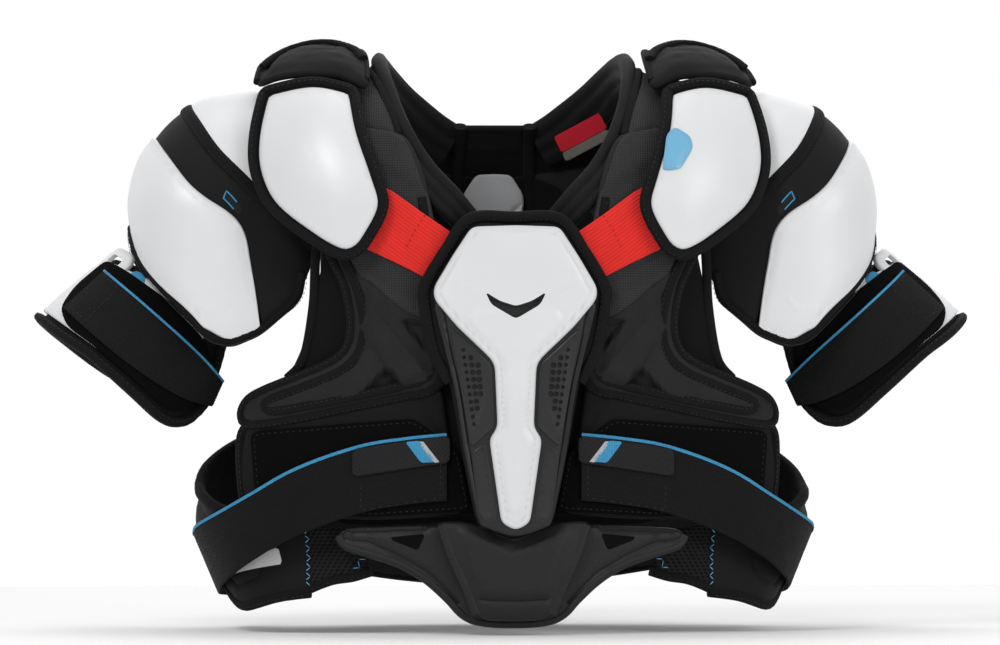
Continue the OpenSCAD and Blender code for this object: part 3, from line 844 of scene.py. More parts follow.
frame_line = soften(curve(both_halves([(0, -56), (40, -57), (55.5, -59), (54.5, -70), (50, -88), (42, -122),
                                       (35.5, -164), (26, -209), (20.5, -215.5), (0, -221.5)]), False, 8), 2)
frame_grooves = mirrored([curve([(50, -64), (45, -90), (37.5, -124), (31.5, -164), (23, -206)], False, 6)])
put(panel("sternum_frame_plate", frame_line, on_chest, 23.8, 4.2, rim=1.2, grid=3,
          seams=[(g, 0.9) for g in frame_grooves],
          relief=[groove(g, 0.9, 1.4) for g in frame_grooves] + [crown(0.6, 5)]),
    "grey", "harness", "sternum_frame")

plate_half = [(0, -5.5), (30.5, -6.5), (44, -27), (57, -49), (56.5, -57), (40.5, -76), (17.5, -98), (14.5, -103),
              (12.6, -146), (18.4, -153.5), (10, -212), (0, -217.5)]
plate_line = soften(fillet(both_halves(plate_half), 4), 1.5)
chevron = soften(fillet([(-21.5, -51.5), (-11, -58), (0, -61.5), (11, -58), (21.5, -51.5), (17, -60.5), (0, -70.5),
                         (-17, -60.5)], 1.5), 1.0)
stem = fillet(both_halves([(0, -66), (27, -64), (33, -72), (10.5, -95), (7.2, -104), (6.4, -147), (11, -156),
                           (5.5, -205), (0, -206)]), 3)
brows = mirrored([curve([(-44, -43), (-27, -51), (-14, -58)], False, 6)])
put(panel("sternum_plate_face", plate_line, on_chest, 28, 3.2, rim=1.6, grid=2.4, holes=[loop_of(chevron, 59)],
          relief=[inset_groove(4.6, 0.9, 0.8), raised(stem, 1.3, 3.0), lambda uv, d: 0.9 * step(d / 22)]
          + [ridge(b, 1.3, 0.8) for b in brows]),
    "white", "harness", "sternum_plate")
put(panel("sternum_vent", offset(chevron, 2.4, 2), on_chest, 26.6, 1.4, rim=0.6, grid=2.5), "vent", "harness")
put(panel("sternum_vent_lip", offset(chevron, 1.6, 2), on_chest, 27.6, 2.4, rim=0.5, grid=1.6,
          holes=[loop_of(offset(chevron, -1.0, 1.2), 53)]), "vent", "harness")

for name, s in SIDES:
    insert_line = soften(fillet([(45.5, -76), (19.5, -99.5), (16.4, -104), (14.6, -145), (31, -160)], 2.5), 1)
    # Three rows of vent holes: where each starts, its steps, the holes' radius and their count
    holes = [round_hole(x - dx * i, z - dz * i, radius) for x, z, dx, dz, radius, count in (
        (36.5, -92, 0.75, 5.15, 1.45, 11), (31.2, -97.5, 0.63, 5, 1.85, 8),
        (26.2, -102.6, 0.45, 5, 2.0, 5)) for i in range(count)]
    put(panel(f"sternum_insert_panel_{name}", insert_line, on_chest, 28, 1.9, s, rim=0.9, grid=2.2, holes=holes,
              relief=[raised([(38, -86), (23, -100), (21, -110), (23, -132), (30, -147), (33, -140)], 0.5, 2)]),
        "vent", "harness", f"sternum_insert_{name}")
    strip = loft(f"sternum_insert_backing_{name}", [(37.7, -89), (30.2, -146)], [(35.3, -89), (27.6, -146)], on_chest,
                 27.55, 0.8, s,
                 cols=5, round_edge=0)
    put(strip, "tag_grey", "harness")
    wedge = soften(fillet([(31, -163.5), (20.6, -156), (12.6, -210), (19.6, -212.5), (25.5, -206)], 2), 1)
    put(panel(f"sternum_wedge_{name}", wedge, on_chest, 27.4, 1.5, s, rim=0.8, grid=2.5,
              relief=[inset_groove(2.2, 0.7, 0.5)]),
        "vent", "harness")


# ---- Chest and rib pads ------------------------------------------------------------------------------------

for name, s in SIDES:
    liner = net_outline([[(72, 46), (92, 56), (110, 60)], [(54, -2), (128, -14)], [(20, -50), (138, -60)],
                         [(4, -110), (146, -108)], [(4, -165), (184, -156)], [(4, -206), (98, -210), (186, -206)]], 5)
    put(panel(f"chest_lining_{name}", liner, on_chest, 0, 2.8, s, rim=1.4, grid=5), "lining", "harness",
        f"chest_liner_{name}")
    side_liner = curve([(134, 8), (137, -30), (138.5, -62), (145, -98), (156, -112)], False, 8)
    edging(f"chest_lining_edge_{name}", side_liner, on_chest, 2.6, s, "harness", half_w=3.4, half_h=2.6, stitch=None)

    pad = soften(curve([(74, 56), (93, 63), (112, 64), (124, 34), (130, 2), (127, -22), (118, -42), (113.5, -58),
                        (112, -76), (115, -91), (126, -101), (148, -111), (174, -122), (186, -131), (183, -143),
                        (150, -139), (112, -131), (74, -123), (57, -119), (49, -109), (46, -88), (49, -58), (52, -30),
                        (56, 0), (62, 30)], True, 6), 5)
    knit_area = [(20, 80), (140, 80), (140, -20), (110, -40), (100, -46), (76, -65), (60, -72), (20, -84)]
    wedge_hill = [(100, -62), (84, -80), (61, -106), (79, -119), (97, -92), (108, -76)]
    notch = [(79, -71), (62, -74), (58, -80), (59, -93)]
    recess = [(106, -123), (89, -106), (82, -109), (79, -121)]
    crest = [(98, -64), (80, -85), (62, -107)]
    cut = [(97, -91), (81, -118)]
    relief = [raised(knit_area, -1.6, 2), raised(wedge_hill, 2.6, 9), raised(notch, -4.5, 3),
              raised(recess, -5.0, 3.5),
              ridge(crest, 2.2, 1.5), groove(cut, 2.2, 2.0), groove([(110, -58), (99, -48)], 3, 1.0)]
    put(panel(f"chest_pad_foam_{name}", pad, on_chest, 3.6, 10.6, s, rim=5, grid=3.0, back_rim=2, relief=relief,
              seams=[(crest, 1.4), (cut, 1.4)]),
        "foam", "harness", f"chest_pad_{name}")
    knit = soften(curve([(66, 38), (76, 56), (92, 61), (106, 60), (116, 34), (121, 2), (117, -20), (110, -40),
                         (101, -45), (77, -64), (61, -71), (50, -76), (51, -40), (56, 0)], True, 6), 3)
    put(panel(f"chest_knit_{name}", knit, on_chest, 11.4, 2.8, s, rim=1.4, grid=3.0,
              relief=[raised([(112, -20), (66, -46), (50, -52), (56, 0)], 0.9, 7),
                      groove([(112, -18), (78, -40), (52, -50)], 2.4, 1.1)]),
        "knit", "harness")

    outer = curve([(112, 64), (126, 34), (132, 2), (128, -22), (118, -43), (113.5, -60), (112, -76), (115.5, -91),
                   (126, -101), (148, -111), (172, -121), (183, -128), (187, -138), (181, -144), (150, -139.5),
                   (112, -131.5), (76, -124), (58, -120), (49.5, -110), (46, -90)], False, 8)
    edging(f"chest_pad_binding_{name}", outer, on_chest, 8.8, s, "harness", half_w=4.0, half_h=4.4, stitch=2.2,
           wrinkle=0.07)
    inner = curve([(104, 62), (118, 32), (123.5, 2), (119.5, -24), (110, -46), (105.5, -62), (104, -78), (108, -95),
                   (121, -107.5), (145, -118), (166, -126), (172, -131), (166, -135), (142, -131), (110, -124.5),
                   (76, -116.5), (62, -113), (56, -105), (53.5, -90), (55, -66), (58, -34), (61, -8), (64, 14)],
                   False, 8)
    edging(f"chest_pad_piping_{name}", inner, on_chest, 12.4, s, "harness", half_w=3.6, half_h=3.4, stitch=-1.4,
           wrinkle=0.08)

    rib = net_outline([[(50, -118), (112, -128), (184, -143)], [(44, -160), (189, -180)],
                       [(36, -206), (100, -210.5), (184, -206)]], 5)
    put(panel(f"rib_panel_cloth_{name}", rib, on_chest, 3.6, 7, s, rim=3, grid=4,
              relief=[groove([(63, -128), (47, -158), (36, -190)], 2.5, 1.6)]),
        "rib", "harness", f"rib_panel_{name}")
    edging(f"rib_panel_binding_{name}", curve([(150, -140), (176, -143.5), (186, -149), (188, -165), (186.5, -190),
                                               (184, -207)], False, 8),
           on_chest, 8.0, s, "harness", half_w=3.8, half_h=3.4, stitch=1.6)
    loop = soften(fillet([(182, -151), (176, -148.5), (115, -143.5), (70, -140), (61, -146), (38, -163), (30, -204),
                          (100, -208.5), (178, -204)], 4), 2)
    put(panel(f"loop_patch_pile_{name}", loop, on_chest, 10.4, 2.6, s, rim=1.2, grid=4), "pile", "harness",
        f"loop_patch_{name}")
    put(stitch_row(f"loop_patch_stitches_{name}", offset(loop, -2.4), on_chest, 13.0, s, True, thick=0.35),
        "black_thread", "harness")

    # Red elastic strap from the sternum guard to the epaulet
    strap = loft(f"sternum_strap_elastic_{name}", [(40, -13), (62, 2), (84, 18), (100, 26)],
                 [(58, -44), (79, -33), (98, -24), (114, -16)],
                 on_chest, 15.8, 1.6, s, cols=26, ribs=0.05, rib_pitch=3.2)
    put(strap, "red", None, f"sternum_strap_{name}")
    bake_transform(strap)
    put(stitch_row(f"sternum_strap_stitches_{name}", [(62.5, 1), (69, -9), (76, -23)], on_chest, 17.5, s, False,
                   thick=0.4), "red_thread", "harness")


# ---- Side wings, torso straps and their anchors ------------------------------------------------------------

for name, s in SIDES:
    wing = soften(curve(at_a([(127, -158), (116, -167), (104, -178), (92, -190), (80, -197), (70, -203), (57, -210),
                              (45, -213), (37, -215), (36, -240), (37, -262), (46, -264), (57, -269), (66, -271),
                              (74, -267), (82, -257), (90, -250), (104, -252), (122, -256), (127, -250),
                              (128, -200)]), True, 6), 5)
    wing_seam = at_a([(118, -176), (104, -188), (90, -201), (78, -209), (66, -216), (52, -224), (50, -240),
                      (54, -252), (66, -258), (78, -246), (92, -240), (118, -244)])
    put(panel(f"side_wing_cloth_{name}", wing, on_wing, 0, 5, s, rim=2.5, grid=4.5, back_rim=1.5,
              relief=[groove(wing_seam, 2.2, 1.4)],
              seams=[(wing_seam, 1.6)]), "neoprene", "harness", f"side_wing_{name}")
    wing_edge = curve(at_a([(36.5, -262), (46, -265), (57, -270), (66, -272), (74, -268), (82, -258), (90, -251),
                            (104, -252.5), (124, -256)]), False, 8)
    edging(f"side_wing_binding_{name}", wing_edge, on_wing, 2.6, s, "harness", half_w=3.8, half_h=3.8, stitch=-2.0)
    wing_top = curve(at_a([(126, -158), (116, -167), (104, -178), (92, -190), (80, -197), (70, -203), (60, -208)]),
                     False, 8)
    edging(f"side_wing_top_binding_{name}", wing_top, on_wing, 2.6, s, "harness", half_w=3.8, half_h=3.8, stitch=2.0)
    mesh_line = soften(curve(at_a([(38, -216), (28, -217), (23, -219), (22.5, -234), (24, -250), (30, -253),
                                   (38, -260), (38.5, -240)]), True, 6), 3)
    put(panel(f"side_mesh_cloth_{name}", mesh_line, on_wing, 1, 2.6, s, rim=1.2, grid=4), "mesh", "harness",
        f"side_mesh_{name}")
    edging(f"side_mesh_binding_{name}", curve(at_a([(22, -247), (26, -251), (31, -253.5), (38, -261)]), False, 8),
           on_wing, 2.4, s, "harness",
           half_w=3.4, half_h=3.0, stitch=-1.6)
    put(stitch_row(f"side_mesh_zigzag_{name}", at_a([(36.6, -218), (36.2, -236), (36.6, -257)]), on_wing, 5.1, s,
                   False, gap=3.2, thick=0.5,
                   zigzag=2.2), "blue_thread", "harness")
    put(stitch_row(f"side_mesh_edge_zigzag_{name}", at_a([(25.5, -246), (23.5, -237)]), on_wing, 3.9, s, False,
                   gap=3.2, thick=0.5, zigzag=2.2),
        "blue_thread", "harness")

    top_rail = curve(at_a([(8.6, -149.5), (16, -152.5), (25, -158), (40, -174), (53, -192), (66, -206), (80, -216),
                           (92, -222)]), False, 8)
    low_rail = curve(at_a([(8.6, -197), (16, -200), (25, -206), (40, -222), (53, -238), (66, -251), (80, -260),
                           (92, -265)]), False, 8)
    band = loft(f"torso_strap_elastic_{name}", top_rail, low_rail, on_strap, STRAP_LIFT, STRAP_THICK, s, cols=44,
                **WEBBING)
    put(band, "elastic", f"side_strap_{name}", f"torso_strap_{name}")
    blue = ribbon(f"torso_strap_blue_edge_{name}", np.array(top_rail) + [0, -1.5], on_strap, 15.6, 2.2, 0.5, s)
    put(blue, "blue", f"side_strap_{name}")
    put(stitch_row(f"torso_strap_end_stitches_{name}", at_a([(9.6, -172), (9.6, -195), (24.4, -203.5), (24.4, -184)]),
                   on_strap, 15.8, s, False, thick=0.35), "black_thread", f"side_strap_{name}")
    anchor = loft(f"strap_anchor_elastic_{name}", at_a([(94, -223), (112, -226), (132, -226)]),
                  at_a([(94, -266), (112, -268), (132, -268)]),
                  on_strap, STRAP_LIFT, STRAP_THICK, s, cols=40, **WEBBING)
    put(anchor, "elastic", "harness", f"strap_anchor_{name}")
    put(stitch_row(f"strap_anchor_stitches_{name}", fillet(at_a([(118, -228), (130, -228), (130, -266), (118, -266)]),
                                                           2), on_strap, 15.8, s, True,
                   thick=0.4), "black_thread", "harness")
    edging(f"strap_anchor_block_{name}", at_a([(131, -225), (131, -269)]), on_wing, 14.0, s, "harness", half_w=4,
           half_h=9, stitch=None,
           look="neoprene")

    tab_line = soften(fillet(at_a([(8.0, -151.5), (26, -161.5), (26, -180.5), (8.0, -170.5)]), 2), 1)
    tab = panel(f"strap_tab_woven_{name}", tab_line, on_strap, 16.2, 1.6, s, rim=0.6, grid=3)
    put(tab, "tab", f"side_strap_{name}", f"strap_tab_{name}")
    for k, (start, end, look) in enumerate(((10.9, 13.5, "blue"), (10.45, 11.35, "tag_grey"))):
        (u, _), (w, _) = at_a([(start, 0), (end, 0)])
        put(panel(f"strap_tab_stripe_{k}_{name}", [(u - 2, -170), (w - 2, -170.6), (w + 5, -156.0), (u + 5, -155.2)],
                  on_strap, 17.7, 0.4, s,
                  rim=0.3, grid=2), look, f"side_strap_{name}")

care_label = panel("care_label", at_a([(66.5, -250), (44.5, -230), (43.5, -242)]), on_wing, 5.4, 0.5, -1, rim=0.3,
                   grid=4)
put(care_label, "white_label", "harness")


# ---- Belly pad ---------------------------------------------------------------------------------------------

belly_line = soften(curve(both_halves([(0, -216), (40, -214.5), (64, -214.5), (92, -215.5), (114, -217), (121, -222),
                                       (116, -230), (100, -235.5), (84, -240), (72, -245.5), (58, -255), (45, -267),
                                       (35, -277.5), (24, -283), (0, -284.5)]), True, 6), 5)
slots = [loop_of(fillet(h, 2), 25) for h in mirrored([[(61, -220), (86, -222.5), (84, -225), (66, -232)]])]
folds = mirrored([[(120, -224), (100, -226), (78, -236), (58, -248), (38, -268)]]) + mirrored([[(112, -220),
        (88, -219), (60, -217.6)]])
put(panel("belly_base_cloth", belly_line, on_chest, -1, 9, rim=3.5, grid=3.4, back_rim=2, holes=slots,
          seams=[(f, 1.4) for f in folds],
          relief=[groove(f, 1.6, 1.8) for f in folds]), "leather", "belly_guard", "belly_base")
belly_low = [(121, -222), (116, -229), (100, -234), (84, -239), (72, -244.5), (58, -254), (45, -266), (35, -276.5),
             (23, -281.5)]
belly_edge = curve([(-x, z) for x, z in belly_low] + [(0, -283)] + belly_low[::-1], False, 6)
edging("belly_binding", belly_edge, on_chest, 4.0, 1, "belly_guard", half_w=3.2, half_h=4.4, stitch=None,
       look="leather")
belly_pad = soften(fillet(both_halves([(0, -224.5), (34, -211.5), (54, -211.5), (48, -230), (27, -276), (20, -280.5),
                                       (0, -281)]), 5), 2)
field = both_halves([(0, -231), (33, -217.5), (40, -219), (22.5, -262), (0, -262.5)])
lower = [(-23, -266), (0, -266.6), (23, -266)]
put(panel("belly_pad_cover", belly_pad, on_chest, 7.6, 7.4, rim=3.0, grid=2.6, seams=[(lower, 1.0)],
          relief=[raised(field, 1.6, 3.5), groove(lower, 1.1, 1.4), crown(1.0, 12)]),
    "leather", "belly_guard", "belly_pad")
for name, s in SIDES:
    strip = [(50.5, -214), (44, -234), (34, -256), (26, -276)]
    edging(f"belly_strip_{name}", strip, on_chest, 14.0, s, "belly_guard", half_w=3.4, half_h=2.2, stitch=1.9,
           look="leather",
           wrinkle=0.02)
    put(stitch_row(f"belly_strip_outer_stitches_{name}", strip, on_chest, 15.6, s, False, length=2.0, gap=1.4,
                   thick=0.35, shift=-1.9),
        "black_thread", "belly_guard")


# ---- Epaulets ----------------------------------------------------------------------------------------------

EPAULET_NET = [[(-76, 92), (-45, 99), (-9, 92)], [(-80, 62), (-1, 60)], [(-90, 30), (-1, 32)], [(-95, 6), (-14, 4)],
               [(-79, -24), (-65, -30), (-47, -22)]]
for name, s in SIDES:
    pad = net_outline(EPAULET_NET, 8)
    put(panel(f"epaulet_foam_{name}", pad, on_epaulet, 0, 5.4, s, rim=3, grid=4, back_rim=2), "neoprene",
        f"epaulet_{name}",
        f"epaulet_pad_{name}")
    edging(f"epaulet_binding_{name}", offset(pad, -3.6), on_epaulet, 4.6, s, f"epaulet_{name}", half_w=4.2,
           half_h=4.6, closed=True, stitch=1.8)
    face = soften(offset(pad, -7.2), 3)
    put(panel(f"epaulet_plate_face_{name}", face, on_epaulet, 6.2, 3.6, s, rim=1.4, grid=3.5,
              relief=[inset_groove(3.2, 1.0, 0.4), lambda uv, d: 1.6 * step(d / 30)]),
        "white", f"epaulet_{name}", f"epaulet_plate_{name}")
    band = soften(curve([(-84, -74), (-62, -71), (-43, -67), (-20, -56), (-8, -46), (-13, 0), (-19, 48), (-43, 56),
                         (-69, 52), (-80, 0)], True, 8), 5)
    put(panel(f"epaulet_band_cloth_{name}", band, over_epaulet, 1, 5.4, s, rim=3, grid=4, back_rim=2,
              relief=[groove([(-14, -44), (-18, 0), (-23, 44)], 1.8, 1.2),
                      groove([(-76, -66), (-75, 0), (-66, 46)], 1.8, 1.2)]),
        "neoprene", f"epaulet_{name}", f"epaulet_band_{name}")
    rim = curve([(-82, -70), (-83, -36), (-81, 0), (-76, 34), (-69, 50)], False, 8)
    edging(f"epaulet_band_inner_binding_{name}", rim, over_epaulet, 4.4, s, f"epaulet_{name}", half_w=3.2, half_h=2.9,
           stitch=1.4)
    rim = curve([(-8, -44), (-11, -18), (-13, 8), (-17, 32), (-20, 46)], False, 8)
    edging(f"epaulet_band_outer_binding_{name}", rim, over_epaulet, 4.8, s, f"epaulet_{name}", half_w=3.2, half_h=2.7,
           stitch=-1.4)
    hoop = curve([(-82, -44), (-76, -30), (-60, -16), (-42, -10), (-26, -12), (-12, -26)], False, 8)
    edging(f"epaulet_hoop_{name}", hoop, over_epaulet, 8.2, s, f"epaulet_{name}", half_w=3.4, half_h=2.4, stitch=1.4)
tag = soften(fillet([(-76, 58), (-70, 64), (-59, 57), (-57.5, 49), (-67, 34), (-80, 33)], 2), 1)
put(panel("epaulet_tag", tag, on_epaulet, 9.6, 1.9, 1, rim=0.6, grid=2.5, relief=[inset_groove(2.2, 0.5, 0.3)]),
    "tag", "epaulet_left")


# ---- Shoulder caps -----------------------------------------------------------------------------------------

def on_cap_from(points):
    return [cap_point(p, q) for p, q in points]


CAP_FRONT_HEM = [(-62, -138), (-20, -174), (30, -180), (68, -162)]
CAP_OUTER_HEM = [(96, -114), (108, -72), (107, -36), (102, 0), (106, 38), (108, 76), (90, 102)]
CAP_BACK_HEM = [(90, 102), (50, 126), (0, 126), (-46, 102)]
BAND_INNER = [(-62, -140), (-66, -116), (-61, -95), (-30, -84), (-6, -77), (14, -58), (24, -28), (26, 4), (23, 35),
              (5, 64), (-22, 82), (-50, 98)]
BAND_OUTER = [(-22, -174), (2, -130), (10, -104), (23, -88), (38, -77), (51, -56), (59, -20), (60, 4), (54, 44),
              (40, 76), (18, 96), (4, 126)]
CROWN_SEAM = [(-28, -88), (-5, -82), (19, -60), (29, -28), (31, 4), (28, 34), (10, 66), (-20, 88)]
SHELL_SEAM = [(-18, -174), (-3, -130), (6, -102), (32, -77), (44, -52), (53, 0), (46, 46), (20, 86), (8, 122)]
for name, s in SIDES:
    body = f"shoulder_cap_{name}"
    rows = [on_cap_from(r) for r in [CAP_FRONT_HEM, [(-67, -87), (96, -114)], [(-46, -42), (107, -36)],
                                     [(-26, 0), (102, 0)], [(-46, 40), (106, 38)], [(-60, 80), (108, 76)],
                                     [(-46, 102), (0, 126), (50, 126), (90, 102)]]]
    liner = net_outline(rows, 6)
    put(panel(f"cap_lining_{name}", liner, on_cap, -13.2, 8.2, s, rim=3, grid=5, back_rim=3.5, sharp=50), "lining",
        body, f"cap_liner_{name}")
    band_line = soften(np.vstack([curve(on_cap_from(BAND_INNER), False, 6),
                                  curve(on_cap_from(BAND_OUTER[::-1]), False, 6)]), 3)
    put(panel(f"cap_band_cloth_{name}", band_line, on_cap, -4.8, 2.4, s, rim=2, grid=4, relief=[crown(1.6, 9)]),
        "neoprene", body,
        f"cap_band_{name}")
    crown_rows = [on_cap_from(r) for r in [[(-58, -68), (-44, -78), (-28, -88)], [(-50, -50), (-5, -82)],
                                           [(-40, -30), (19, -60)], [(-29, -12), (29, -28)], [(-25, 4), (31, 4)],
                                           [(-31, 20), (28, 34)], [(-46, 42), (10, 66)],
                                           [(-58, 66), (-40, 78), (-20, 88)]]]
    put(panel(f"cap_crown_plate_{name}", net_outline(crown_rows, 3), on_cap, -2.4, 2.6, s, rim=1.2, grid=4), "white",
        body,
        f"cap_crown_{name}")
    tape = curve(on_cap_from([(-62, -99), (-44, -93)] + CROWN_SEAM + [(-44, 92)]), False, 8)
    edging(f"cap_seam_tape_{name}", tape, on_cap, -0.6, s, body, half_w=4.6, half_h=2.0, stitch=-2.8, wrinkle=0.03)
    put(stitch_row(f"cap_seam_tape_inner_stitches_{name}", tape, on_cap, 0.9, s, False, shift=2.8, **HEM_SEAM),
        "black_thread", body)
    shell_rows = [on_cap_from([(-18, -174), (28, -180), (66, -160)])] + [on_cap_from([a, b]) for a, b in zip(
        [(-3, -130), (6, -102), (32, -77), (44, -52), (53, 0), (46, 46), (20, 86)],
        [(96, -112), (108, -68), (106, -38), (103, -16), (100, 0), (104, 36), (108, 76)])] + [on_cap_from([(8, 122),
                (48, 124), (88, 102)])]
    shell = net_outline(shell_rows, 4)
    step_line = curve(on_cap_from([(22, -150), (40, -156), (66, -146)]), False, 8)
    put(panel(f"cap_shell_plate_{name}", shell, on_cap, -2.4, 4.0, s, rim=1.8, grid=3.4,
              relief=[inset_groove(4.5, 1.4, 0.6), lambda uv, d: 1.4 * step(d / 18), ridge(step_line, 1.4, 0.7)]),
        "white", body, f"cap_shell_{name}")
    hem = curve(on_cap_from([(-60, -120), (-61, -139), (-42, -158), (-18, -173), (6, -179), (30, -180), (52, -173),
                             (68, -160), (84, -138), (97, -112), (105, -88), (108, -66), (107, -38), (103, -10),
                             (102, 10), (106, 38), (109, 60), (106, 82), (90, 102), (70, 116), (48, 125), (24, 127),
                             (0, 126), (-24, 116), (-46, 102), (-55, 92)]), False, 6)
    edging(f"cap_hem_binding_{name}", hem, on_cap, -4.9, s, body, half_w=3.6, half_h=7.6, stitch=None)
    put(stitch_row(f"cap_hem_stitches_{name}", hem, on_cap, 2.5, s, False, shift=-2.4, **HEM_SEAM), "black_thread",
        body)
    inner_hem = curve(on_cap_from([(-61, -136), (-64, -112), (-62, -88), (-52, -56)]), False, 6)
    edging(f"cap_inner_binding_{name}", inner_hem, on_cap, -6.4, s, body, half_w=3.4, half_h=6.6, stitch=None)
    tag_middle = np.array(cap_point(12, -86))
    turned = np.array([(0.72, 0.69), (-0.69, 0.72)])
    tag_line = tag_middle + np.array([(-11, -3.4), (11, -3.4), (11, 3.4), (-11, 3.4)]) @ turned
    put(panel(f"cap_side_tag_{name}", tag_line, on_cap, -1.6, 1.0, s, rim=0.4, grid=3), "tab", body)
    rim_line = tag_middle + np.array([(-3, -3.0), (10.4, -3.0), (10.4, 3.0), (-3, 3.0)]) @ turned
    put(ribbon(f"cap_side_tag_edge_{name}", rim_line, on_cap, -0.7, 0.9, 0.3, s, pitch=1.5, cols=4), "blue", body)


# ---- Upper-arm guards --------------------------------------------------------------------------------------

for name, s in SIDES:
    body = f"arm_guard_{name}"
    pad_rows = [[(-124, 68), (-85, 66), (-40, 78), (0, 81), (40, 77), (85, 66), (130, 68)], [(-128, 100), (138, 98)],
                [(-124, 138), (-85, 148), (-40, 148), (0, 146), (40, 147), (66, 146), (95, 149), (120, 152),
                 (133, 146), (144, 130)]]
    pad = net_outline(pad_rows, 7)
    put(panel(f"arm_pad_foam_{name}", pad, on_arm, -9.6, 7.6, s, rim=3, grid=4.5, back_rim=3), "neoprene", body,
        f"arm_pad_{name}")
    bottom = curve([(134, 80), (139, 98), (144.5, 122), (142, 135), (134, 147), (121, 153.5), (95, 150.5), (66, 147),
                    (40, 147.5), (0, 146.5), (-40, 148), (-85, 148), (-122, 139), (-127, 120), (-127, 100)], False, 8)
    edging(f"arm_pad_binding_{name}", bottom, on_arm, -3.4, s, body, half_w=3.6, half_h=7.2, stitch=None)
    put(stitch_row(f"arm_pad_stitches_{name}", bottom, on_arm, 3.4, s, False, shift=2.2, **HEM_SEAM), "black_thread",
        body)
    shell_rows = [[(-95, 74), (-50, 82), (0, 86), (50, 82), (100, 70)], [(-100, 104), (122, 98)],
                  [(-92, 136), (-50, 141), (0, 141), (50, 141), (84, 141), (116, 144), (132, 134)]]
    put(panel(f"arm_shell_plate_{name}", net_outline(shell_rows, 5), on_arm, -0.4, 3.0, s, rim=1.4, grid=4,
              relief=[inset_groove(5, 1.2, 0.5), lambda uv, d: 0.6 * step(d / 20)]), "white", body,
              f"arm_shell_{name}")
    patch = soften(fillet([(16, 86), (44, 84), (84, 84), (120, 92), (138, 106), (139, 124), (132, 139), (118, 146.5),
                           (92, 143), (66, 140.5), (44, 140.5), (26, 132), (15, 112)], 6), 3)
    put(panel(f"arm_loop_patch_{name}", patch, on_arm, 2.4, 1.6, s, rim=0.8, grid=4), "pile", body)
    top = curve([(31, 92), (60, 94), (90, 97), (120, 101), (147, 106)], False, 8)
    low = curve([(31, 131), (60, 134.5), (90, 136.5), (120, 134), (147, 126)], False, 8)
    band = loft(f"arm_strap_elastic_{name}", top, low, on_arm, 4.3, STRAP_THICK, s, cols=36, **WEBBING)
    put(band, "elastic", f"arm_strap_band_{name}", f"arm_strap_{name}")
    put(ribbon(f"arm_strap_blue_edge_{name}", np.array(top) + [0, 1.4], on_arm, 5.9, 2.2, 0.5, s), "blue",
        f"arm_strap_band_{name}")
    put(stitch_row(f"arm_strap_stitches_{name}", fillet([(34, 96), (52, 97.5), (52, 130), (34, 127)], 2), on_arm, 6.1,
                   s, True, thick=0.35),
        "black_thread", f"arm_strap_band_{name}")
    hanger = loft(f"arm_hanger_elastic_{name}", [(-18, 30), (-18, 64)], [(18, 30), (18, 64)], on_arm, -13.8, 3, s,
                  pitch=3, cols=24, ribs=0.12,
                  rib_pitch=3)
    put(hanger, "elastic", body, f"arm_hanger_{name}")
    # Moulded bracket that holds the strap's pull tab, and the blue tab itself
    bracket = soften(fillet([(12, 73), (38, 72), (44, 79), (42, 93), (30, 99), (14, 95), (8, 82)], 4), 2)
    slot_hole = loop_of(fillet([(18, 79), (34, 79), (35, 85), (18, 86)], 2), 25)
    put(panel(f"arm_bracket_{name}", bracket, on_arm, 0.6, 3.0, s, rim=1.3, grid=2.8, holes=[slot_hole]), "white",
        body)
    pull = soften(fillet([(50, 79), (61, 80), (65, 96), (56, 100), (47, 89)], 3), 1.5)
    put(panel(f"arm_pull_tab_{name}", pull, on_arm, 1.8, 1.4, s, rim=0.7, grid=2.8), "blue", body)


# ---- Collar, yoke and neck ---------------------------------------------------------------------------------

COLLAR_SIDES, COLLAR_HALF_T = 40, 5.4


def collar(name, s):
    """A roll of three lobes along the neck opening, from the sternum to the back."""
    path = curve([(30, -110, -6), (46, -113, 13), (66, -105, 35), (82, -86, 62), (89, -50, 88), (90, -6, 102),
                  (85, 34, 99), (70, 63, 82), (49, 78, 64), (32, 84, 54)], False, 8)
    ups = curve([(-7, 1, 7), (-7, 2, 6), (-7, 3, 7), (-6, 2, 8), (-4, 1, 9), (-2, 0, 9), (-2, 0, 9), (-2, -1, 9),
                 (-1, -2, 9), (0, -2, 9)], False, 8)
    highs = curve([(h, 0) for h in (10, 11, 12, 13, 14, 15, 16, 17, 17, 16)], False, 8)[:, 0]
    way = unit(np.gradient(path, axis=0))
    up = unit(ups - (ups * way).sum(1)[:, None] * way)
    out = np.cross(up, way)
    out *= np.sign(out[:, 0].mean())
    t = np.arange(COLLAR_SIDES) * 2 * math.pi / COLLAR_SIDES
    rise = signed_power(np.sin(t), 0.9)
    lobes = 0.66 + 0.34 * np.abs(np.sin(1.5 * math.pi * (rise + 1)))
    flat = np.sign(np.cos(t)) * np.minimum(1, np.abs(np.cos(t)) ** 0.45) * lobes * COLLAR_HALF_T
    height = rise[None, :] * highs[:, None]
    grid = path[:, None] + height[..., None] * up[:, None] + flat[None, :, None] * out[:, None]
    return tube(f"collar_roll_{name}", grid, run_of(path), height, 5, s)


